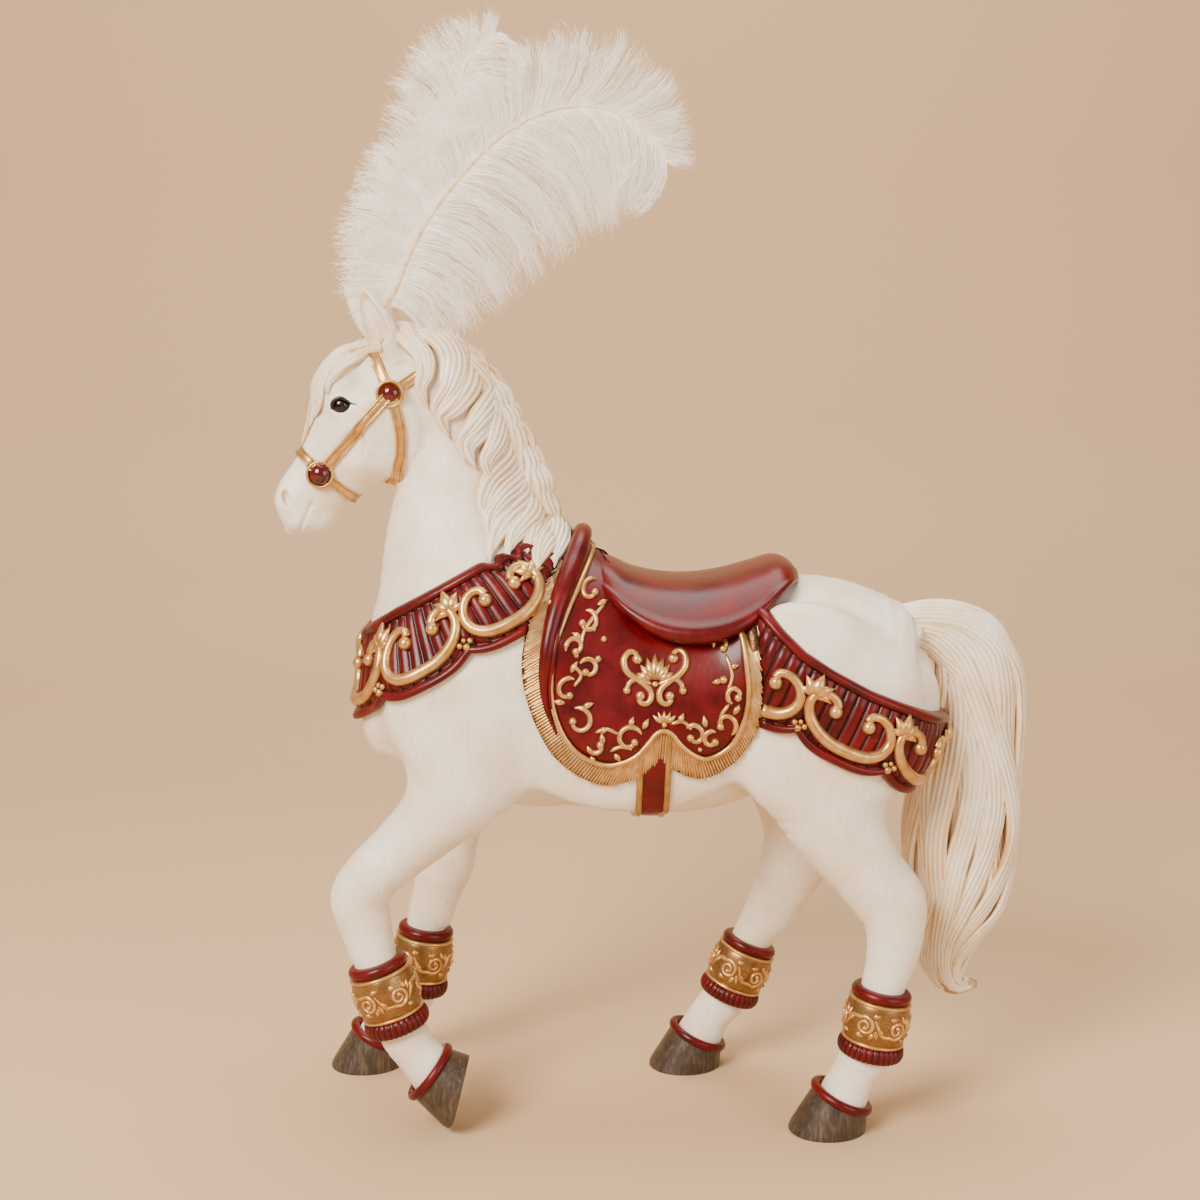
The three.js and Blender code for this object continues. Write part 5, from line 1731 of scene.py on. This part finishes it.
# %% Eyeballs and lid lines
def eye_material():
    """Glossy enamel in rings round the pupil: a wet look with a sharp highlight."""
    made, tree, shader = new_material("brown eye enamel", "#140a06", 0.08, specular_ior_level=0.35,
                                      coat_weight=0.2)
    fleck = mottle(tree, object_mm(tree), 0.5)
    ring = add_node(tree, MATH, {0: fleck, 1: 0.05, 2: wash_of(tree)}, operation="MULTIPLY_ADD")
    tone = add_node(tree, RAMP, {"Fac": ring}, stops=[(0.0, "#020101"), (0.17, "#050302"), (0.21, "#1f0d06"),
                                                      (0.33, "#2c160a"), (0.41, "#070403")])
    tree.links.new(tone, shader.inputs["Base Color"])
    return made


def liner_material():
    """Black paint from a fine brush: matt, and thinner in places."""
    made, tree, shader = new_material("black lid line", "#0d0a09", 0.35)
    smear = mottle(tree, object_mm(tree), 0.7)
    tone = add_node(tree, RAMP, {"Fac": smear}, stops=[(0.35, "#080606"), (0.7, "#221a16")])
    tree.links.new(tone, shader.inputs["Base Color"])
    return made


LID_RADIUS = 6.5
LID_LINE = [
    (-129.4, 355.2), (-129.0, 358.2), (-127.2, 360.2), (-124.6, 360.8), (-122.0, 359.6), (-119.8, 358.2),
    (-117.0, 357.6),
]
eyes, lines = Parts(), Parts()
for side in (-1, 1):
    centre = head_point(EYE[0], EYE[1], side * EYE[2])
    look = unit([-0.34, side * 0.94, -0.02])
    count = 20
    rings = []
    for a in np.linspace(0.02, math.pi / 2, 12):
        u = unit(np.cross(look, [0, 0, 1.0]))
        around = np.linspace(0, 2 * math.pi, count, endpoint=False)
        disc = np.outer(np.cos(around), u) + np.outer(np.sin(around), unit(np.cross(u, look)))
        rings.append(centre + (look * math.cos(a) + disc * math.sin(a)) * EYE_RADIUS)
    points, faces = closed(np.array(rings[::-1]))
    away = np.linalg.norm(points - (centre + look * EYE_RADIUS), axis=1)
    eyes.add(points, faces, away / 10)
    lid = []
    for x, z in LID_LINE:
        at, _ = on_side(x, z, side, 0.15)
        bulge_y = LID_RADIUS**2 - (x - centre[0]) ** 2 - (z - centre[2]) ** 2
        lid.append((at[0], side * max(abs(at[1]), EYE[2] + math.sqrt(max(0.0, bulge_y))), at[2]))
    path = curve_through(lid, 30)
    radii = np.interp(np.linspace(0, 1, 30), [0, 0.15, 0.6, 1], [0.4, 0.85, 0.75, 0.25])
    lines.add(*sweep(path, radii, np.array([0, float(side), 0]), 8, 0.7), 0.0)
eyes.place("eyes", eye_material(), "hoof_paint")
lines.place("lid_lines", liner_material(), "hoof_paint")

# %% [markdown]
# ## The fringe
#
# The fringe hangs from the cord in one strand after another, so Geometry Nodes lays them. The base curve
# carries a `reach` vector, from each strand's root to its end: it turns and scales the strand.

# %% Fringe strands
# Shares of the way round between which the strands hang straight. Elsewhere they slant.
FRINGE_SIDES = (0.30, 0.78)
NAMED, RANDOM = "GeometryNodeInputNamedAttribute", "FunctionNodeRandomValue"
ALIGN, ON_POINTS = "FunctionNodeAlignRotationToVector", "GeometryNodeInstanceOnPoints"
REALIZE, SET_MATERIAL = "GeometryNodeRealizeInstances", "GeometryNodeSetMaterial"
BEZIER = "GeometryNodeCurveQuadraticBezier"


def socket_id(tree, name):
    return next(item.identifier for item in tree.interface.items_tree if item.name == name)


def geometry_tree(name, **inputs):
    """A node tree with a Geometry input and output and the given named inputs."""
    tree = bpy.data.node_groups.new(name, "GeometryNodeTree")
    tree.interface.new_socket("Geometry", in_out="INPUT", socket_type="NodeSocketGeometry")
    for key, kind in inputs.items():
        tree.interface.new_socket(key.replace("_", " "), in_out="INPUT", socket_type="NodeSocket" + kind)
    tree.interface.new_socket("Geometry", in_out="OUTPUT", socket_type="NodeSocketGeometry")
    return tree, tree.nodes.new("NodeGroupInput").outputs, tree.nodes.new("NodeGroupOutput")


def grown(name, points, attributes, tree, values):
    """The mesh that a node tree grows on a line of points, as a piece. attributes hold a vector for each."""
    base = bpy.data.meshes.new(name + "_path")
    base.from_pydata(metres(points).tolist(), [(i, i + 1) for i in range(len(points) - 1)], [])
    for key, vectors in attributes.items():
        vectors = np.asarray(vectors, np.float32) * 0.001
        base.attributes.new(key, "FLOAT_VECTOR", "POINT").data.foreach_set("vector", vectors.ravel())
    holder = bpy.data.objects.new(name + "_path", base)
    bpy.context.scene.collection.objects.link(holder)
    modifier = holder.modifiers.new(name, "NODES")
    modifier.node_group = tree
    for key, value in values.items():
        modifier[socket_id(tree, key)] = value
    bpy.context.view_layer.update()
    mesh = bpy.data.meshes.new_from_object(holder.evaluated_get(bpy.context.evaluated_depsgraph_get()))
    mesh.name = name
    bpy.data.objects.remove(holder)
    bpy.data.meshes.remove(base)
    mesh.polygons.foreach_set("use_smooth", [True] * len(mesh.polygons))
    made = bpy.data.objects.new(name, mesh)
    bpy.context.scene.collection.objects.link(made)
    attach(made, "root")
    print(f"{name}: {triangles_in(made)} triangles")
    return made


def tapered_tubes(tree, curves, radius, sides, ends):
    """Curves as closed tubes whose radius runs through `ends`, from root to tip."""
    along = add_node(tree, "GeometryNodeSplineParameter")
    thickness = add_node(tree, "ShaderNodeFloatCurve", {"Value": along})
    taper = thickness.node.mapping.curves[0]
    for point, (x, y) in zip(taper.points, (ends[0], ends[-1])):
        point.location = (x, y)
    for x, y in ends[1:-1]:
        taper.points.new(x, y)
    size = add_node(tree, MATH, {0: thickness, 1: radius}, operation="MULTIPLY")
    sized = add_node(tree, "GeometryNodeSetCurveRadius", {"Curve": curves, "Radius": size})
    profile = add_node(tree, "GeometryNodeCurvePrimitiveCircle", {"Resolution": sides, "Radius": 1.0})
    return add_node(tree, "GeometryNodeCurveToMesh",
                    {"Curve": sized, "Profile Curve": profile, "Scale": size, "Fill Caps": True})


def fringe_tree():
    """Strands from the path's points to their ends, each with its own length and glaze."""
    tree, given, result = geometry_tree("fringe strands", Strands="Int", Radius="Float", Seed="Int",
                                        Material="Material")
    path = add_node(tree, "GeometryNodeMeshToCurve", {"Mesh": given["Geometry"]})
    spread = add_node(tree, "GeometryNodeResampleCurve", {"Curve": path, "Count": given["Strands"]})
    reach = add_node(tree, NAMED, {"Name": "reach"}, "Attribute", data_type="FLOAT_VECTOR")
    ragged = add_node(tree, RANDOM, {2: 0.9, 3: 1.05, "Seed": given["Seed"]}, 1, data_type="FLOAT")
    length = add_node(tree, VECTOR_MATH, {0: reach}, "Value", operation="LENGTH")
    size = add_node(tree, MATH, {0: length, 1: ragged}, operation="MULTIPLY")
    strand = add_node(tree, BEZIER,
                      {"Resolution": 6, "Start": (0, 0, 0), "Middle": (0.5, 0, 0), "End": (1, 0, 0)})
    turned = add_node(tree, ALIGN, {"Vector": reach}, axis="X")
    laid = add_node(tree, ON_POINTS,
                    {"Points": spread, "Instance": strand, "Rotation": turned, "Scale": size})
    real = add_node(tree, REALIZE, {"Geometry": laid})
    tubes = tapered_tubes(tree, real, given["Radius"], 8, [(0, 0.8), (0.3, 1.0), (0.85, 1.0), (1, 0.55)])
    tint = add_node(tree, RANDOM, {2: 0.0, 3: 0.35, "Seed": given["Seed"]}, 1, data_type="FLOAT")
    glazed = add_node(tree, "GeometryNodeStoreNamedAttribute",
                      {"Geometry": tubes, "Name": "wash", "Value": tint})
    whole = add_node(tree, REALIZE, {"Geometry": glazed})
    painted = add_node(tree, SET_MATERIAL, {"Geometry": whole, "Material": given["Material"]})
    tree.links.new(painted, result.inputs["Geometry"])
    return tree


FRINGE_TREE = fringe_tree()
FRINGE_GOLD = gold_material("fringe gilding", "#e9c188", "#c99656", "#40220c")
fringe_bed = Parts()
for side in (-1, 1):
    inner = curve_through([(x, z, 0) for x, z in PIPING], 160)[:, :2]
    outer = curve_through([(x, z, 0) for x, z in FRINGE], 160)[:, :2]
    slant = np.interp(np.linspace(0, 1, 160), [0, *FRINGE_SIDES, 1], [10, 0, 0, -9]).round().astype(int)
    ends = outer[np.clip(np.arange(160) + slant, 0, 159)]
    roots, reaches = [], []
    for a, b in zip(inner, ends):
        start, up = on_panel(*(a + (b - a) * 0.04), side, 2.1)
        end, _ = on_panel(*(a + (b - a) * 0.97), side, 1.9)
        roots.append(start)
        reaches.append(end - start)
    name = "fringe_near" if side < 0 else "fringe_far"
    grown(name, roots, {"reach": reaches}, FRINGE_TREE,
          {"Strands": 210, "Radius": 0.00068, "Seed": 5 + side, "Material": FRINGE_GOLD})
    rows = [(0.0, -1.5), (0.02, 1.3), (0.5, 1.5), (0.93, 1.3), (0.98, 0.7), (0.97, -1.5)]
    rings = []
    for a, b in zip(inner, outer):
        rings.append([on_panel(*(a + (b - a) * share), side, lift)[0] for share, lift in rows])
    # The bed under the strands is painted dark: painted shade beneath the fringe
    fringe_bed.add(*closed(np.array(rings)), 0.85)
fringe_bed.place("fringe_bed", FRINGE_GOLD, "gold_paint")

# %% [markdown]
# ## The plumes
#
# An ostrich feather is a quill with long soft barbs to both sides, and every barb carries a down of fine
# barbules. The quill's points carry the reach of the barbs to each side. Node trees lay the barbs, bend and
# curl them, and set the barbules along them as thin needles.

# %% Quills, barbs and down
# The quill's line and the width of the vane over and under it, in the side view
PLUME_FRONT = [
    (-103, 405, 15, 18), (-97, 417, 25, 31), (-90, 433, 31, 40), (-81, 448, 32, 46), (-70, 462, 30, 48),
    (-56, 477, 28, 50), (-42, 488, 28, 48), (-25, 496, 29, 48), (-6.5, 498.5, 27, 40), (11, 494, 18, 29),
    (25, 484, 11, 24), (32, 473, 6, 14),
]
PLUME_BACK = [
    (-101, 405, 15, 8), (-99.5, 417, 26, 12), (-96, 434, 29, 17), (-90, 451, 28, 21), (-84, 467, 26, 23),
    (-78, 482, 25, 25), (-74, 495, 23, 26), (-69.5, 509, 20, 26), (-64, 521, 13, 20), (-57, 530, 8, 14),
    (-51, 535, 4, 7),
]
BARB_REACH = {"over": 1.07, "under": 1.2}
# Place along the quill, and how far barbs lean towards its tip there, as a share of their way outwards
OVER_LEAN = ([0, 0.2, 0.45, 0.65, 0.85, 1], [-0.3, 0.2, 0.5, 0.75, 1.0, 1.5])
UNDER_LEAN = ([0, 0.3, 0.6, 0.85, 1], [-0.3, 0.1, 0.3, 0.5, 1.0])


def glowing_feather_material():
    """Bleached ostrich: matt and airy.

    A painted glow, a faint warm light of the feather's own, stands in for the light that the barbs pass
    on to each other.
    """
    # A painted glow: the feathers give off a faint warm light of their own
    made, tree, shader = new_material("ostrich feather", "#fdfaf4", 0.6, specular_ior_level=0.3,
                                      sheen_weight=0.3, emission_strength=0.22)
    shader.inputs["Emission Color"].default_value = colour("#fff0dc")
    where = object_mm(tree)
    tone = add_node(tree, RAMP, {"Fac": mottle(tree, where, 9)}, stops=[(0.3, "#f8efe0"), (0.6, "#fffaf0")])
    shaft = add_node(tree, RAMP, {"Fac": mottle(tree, where, 2.5)},
                     stops=[(0.35, "#c9a06a"), (0.65, "#ecd3a4")])
    mixed = add_node(tree, MIX, {0: wash_of(tree), 6: tone, 7: shaft}, 2, data_type="RGBA")
    tree.links.new(mixed, shader.inputs["Base Color"])
    return made


# Each side's reach attribute, and how high its barbs' middles and ends arch
BARB_SIDES = (("over", -0.13, 0.05), ("under", 0.26, -0.06))
GREY = (0.5, 0.5, 0.5)  # the mean of a noise's colour
TUFT_SCALE, CURL_SCALE = 130, 90.0  # waves to the metre


def vane_tree():
    """Barbs to both sides of a quill, in tufts, with a little down on them."""
    tree, given, result = geometry_tree("ostrich vane", Barbs="Int", Barb_Radius="Float", Down_Gap="Float",
                                        Down_Length="Float", Seed="Int", Material="Material")
    path = add_node(tree, "GeometryNodeMeshToCurve", {"Mesh": given["Geometry"]})
    spread = add_node(tree, "GeometryNodeResampleCurve", {"Curve": path, "Count": given["Barbs"]})
    position = add_node(tree, "GeometryNodeInputPosition")
    tuft_at = add_node(tree, VECTOR_MATH, {0: position, "Scale": TUFT_SCALE}, operation="SCALE")
    joined = add_node(tree, "GeometryNodeJoinGeometry")
    for number, (name, middle, end) in enumerate(BARB_SIDES):
        reach = add_node(tree, NAMED, {"Name": name}, "Attribute", data_type="FLOAT_VECTOR")
        seed = add_node(tree, MATH, {0: given["Seed"], 1: 10 * number}, operation="ADD")
        size = add_node(tree, VECTOR_MATH, {0: reach}, "Value", operation="LENGTH")
        tuft = add_node(tree, NOISE, {"Vector": tuft_at, "W": seed, "Scale": 1.0, "Detail": 1.0}, "Color",
                        noise_dimensions="4D")
        swing = add_node(tree, VECTOR_MATH, {0: tuft, 1: GREY}, operation="SUBTRACT")
        tufted = add_node(tree, VECTOR_MATH, {0: swing, "Scale": 0.75}, operation="SCALE")
        stray = add_node(tree, RANDOM, {0: (-0.07, -0.2, -0.07), 1: (0.07, 0.2, 0.07), "Seed": seed}, 0,
                         data_type="FLOAT_VECTOR")
        loose = add_node(tree, VECTOR_MATH, {0: tufted, 1: stray}, operation="ADD")
        swept = add_node(tree, VECTOR_MATH, {0: loose, "Scale": size}, operation="SCALE")
        heading = add_node(tree, VECTOR_MATH, {0: reach, 1: swept}, operation="ADD")
        ragged = add_node(tree, RANDOM, {2: 0.78, 3: 1.06, "Seed": seed}, 1, data_type="FLOAT")
        long = add_node(tree, MATH, {0: size, 1: ragged}, operation="MULTIPLY")
        bends = {"Start": (0, 0, 0), "Middle": (0.52, 0, middle), "End": (1, 0, end)}
        barb = add_node(tree, BEZIER, {"Resolution": 9, **bends})
        turned = add_node(tree, ALIGN, {"Vector": heading}, axis="X")
        upright = add_node(tree, ALIGN, {"Rotation": turned, "Vector": (0, 1, 0)}, axis="Y", pivot_axis="X")
        laid = add_node(tree, ON_POINTS,
                        {"Points": spread, "Instance": barb, "Rotation": upright, "Scale": long})
        tree.links.new(laid, joined.node.inputs["Geometry"])
    barbs = add_node(tree, REALIZE, {"Geometry": joined})
    along = add_node(tree, "GeometryNodeSplineParameter")
    wave = add_node(tree, NOISE, {"Vector": position, "Scale": CURL_SCALE, "Detail": 2.0}, "Color")
    centred = add_node(tree, VECTOR_MATH, {0: wave, 1: GREY}, operation="SUBTRACT")
    looser = add_node(tree, MATH, {0: along, 1: 0.012}, operation="MULTIPLY")
    shift = add_node(tree, VECTOR_MATH, {0: centred, "Scale": looser}, operation="SCALE")
    barbs = add_node(tree, "GeometryNodeSetPosition", {"Geometry": barbs, "Offset": shift})
    shafts = tapered_tubes(tree, barbs, given["Barb Radius"], 3, [(0, 1.0), (1, 0.4)])
    finer = add_node(tree, "GeometryNodeResampleCurve", {"Curve": barbs, "Length": given["Down Gap"]},
                     mode="LENGTH")
    aside = add_node(tree, RANDOM, {0: (-1.0, -1.0, -1.0), 1: (1.0, 1.0, 1.0), "Seed": given["Seed"]}, 0,
                     data_type="FLOAT_VECTOR")
    tangent = add_node(tree, "GeometryNodeInputTangent")
    onward = add_node(tree, VECTOR_MATH, {0: tangent, "Scale": 1.2}, operation="SCALE")
    heading = add_node(tree, VECTOR_MATH, {0: onward, 1: aside}, operation="ADD")
    needle = add_node(tree, "GeometryNodeMeshCircle", {"Vertices": 3, "Radius": 1.0}, fill_type="NGON")
    slim = add_node(tree, "GeometryNodeTransform",
                    {"Geometry": needle, "Translation": (0.333, 0, 0), "Scale": (0.667, 0.03, 1)})
    ragged = add_node(tree, RANDOM, {2: 0.45, 3: 1.0, "Seed": given["Seed"]}, 1, data_type="FLOAT")
    long = add_node(tree, MATH, {0: ragged, 1: given["Down Length"]}, operation="MULTIPLY")
    turned = add_node(tree, ALIGN, {"Vector": heading}, axis="X")
    down = add_node(tree, ON_POINTS, {"Points": finer, "Instance": slim, "Rotation": turned, "Scale": long})
    both = add_node(tree, "GeometryNodeJoinGeometry", {"Geometry": shafts})
    tree.links.new(down, both.node.inputs["Geometry"])
    whole = add_node(tree, REALIZE, {"Geometry": both})
    painted = add_node(tree, SET_MATERIAL, {"Geometry": whole, "Material": given["Material"]})
    tree.links.new(painted, result.inputs["Geometry"])
    return tree


def plume(name, rows, depth, foot, quills, values):
    rows = curve_through([(x, z, above, below) for x, z, above, below in rows], 60)
    line = np.gradient(rows[:, :2], axis=0)
    line /= np.linalg.norm(line, axis=1)[:, None]
    normal = np.stack([-line[:, 1], line[:, 0]], 1)
    share = np.linspace(0, 1, len(rows))
    points = np.stack([rows[:, 0], depth * np.interp(share, [0, 0.12, 1], [0.6, 1, 1]), rows[:, 1]], 1)
    reaches = {}
    sides = (("over", 1, rows[:, 2], OVER_LEAN), ("under", -1, rows[:, 3], UNDER_LEAN))
    for key, sign, width, leans in sides:
        flat = (normal * sign + line * np.interp(share, *leans)[:, None]) * width[:, None] * BARB_REACH[key]
        reaches[key] = np.stack([flat[:, 0], np.zeros(len(rows)), flat[:, 1]], 1)
    vane = grown(name, points, reaches, VANE_TREE, values)
    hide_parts(name)
    stem = np.vstack([[(foot[0], foot[1], 380), (foot[0] - 2, foot[1], 389)], points[::3]])
    shaft = curve_through(stem, 70)
    radii = np.interp(np.linspace(0, 1, 70), [0, 0.1, 1], [1.3, 1.25, 0.25])
    quills.add(*sweep(shaft, radii, np.array([0, -1.0, 0]), 10), 1.0)


GLOWING_FEATHER, VANE_TREE, quills = glowing_feather_material(), vane_tree(), Parts()
down = {"Barb Radius": 0.00017, "Down Gap": 0.0055, "Down Length": 0.006, "Material": GLOWING_FEATHER}
plume("plume_front", PLUME_FRONT, -8.3, (-97, -3.2), quills, {"Barbs": 1560, "Seed": 3, **down})
plume("plume_back", PLUME_BACK, 8.3, (-94.5, 3.2), quills, {"Barbs": 960, "Seed": 8, **down})
quills.place("quills", GLOWING_FEATHER, "feather")

# %% [markdown]
# ## Camera, floor and light
#
# The camera stands where the photographer's did: 0.9 m away, 8 degrees above the level, with a 54 mm lens.
# The floor is a plain paper backdrop. One large soft box on the left draws the forms, a fill on the right
# keeps the shadows open, and a light from above rims the back and the plumes.


# %% Camera, backdrop and lights
def area_light(name, location, target, size, power, tint="#ffffff"):
    light = bpy.data.lights.new(name, "AREA")
    light.shape, light.size, light.energy = "DISK", size, power
    light.color = colour(tint)[:3]
    lamp = bpy.data.objects.new(name, light)
    lamp.location = location
    lamp.rotation_euler = (Vector(target) - Vector(location)).to_track_quat("-Z", "Y").to_euler()
    bpy.context.scene.collection.objects.link(lamp)
    return lamp


camera = bpy.data.objects.new("camera", bpy.data.cameras.new("camera"))
camera.data.lens = 54
camera.data.clip_start = 0.05
camera.location = (-BOX_CENTRE_X / 1000, -0.8912, 0.385)
camera.rotation_euler = (math.radians(82), 0, 0)
bpy.context.scene.collection.objects.link(camera)
bpy.context.scene.camera = camera

BACKDROP = [(-1.6, 0.0), (0.7, 0.0), (0.95, 0.03), (1.15, 0.12), (1.25, 0.3), (1.28, 0.6), (1.3, 2.4)]
floor_points = [(x, y, z) for y, z in BACKDROP for x in (-3.0, 3.0)]
floor_faces = [(2 * i, 2 * i + 1, 2 * i + 3, 2 * i + 2) for i in range(len(BACKDROP) - 1)]
floor_mesh = bpy.data.meshes.new("floor")
floor_mesh.from_pydata(floor_points, [], floor_faces)
floor_mesh.polygons.foreach_set("use_smooth", [True] * len(floor_mesh.polygons))
paper = new_material("pale paper sweep", "#ccab84", 0.9)[0]
floor_mesh.materials.append(paper)
floor = bpy.data.objects.new("floor", floor_mesh)
bpy.context.scene.collection.objects.link(floor)

area_light("key", (-0.9, -1.3, 1.25), (0, 0, 0.25), 0.9, 62, "#fff6ea")
area_light("fill", (1.2, -1.1, 0.7), (0, 0, 0.25), 1.2, 13, "#fff8f0")
area_light("top", (0.1, 0.3, 1.7), (0, 0, 0.2), 1.2, 24, "#fffaf4")
world = bpy.data.worlds.new("studio")
world.use_nodes = True
world.node_tree.nodes["Background"].inputs["Color"].default_value = colour("#e9dfd2")
world.node_tree.nodes["Background"].inputs["Strength"].default_value = 0.6
bpy.context.scene.world = world
print("camera, floor and lights are up")
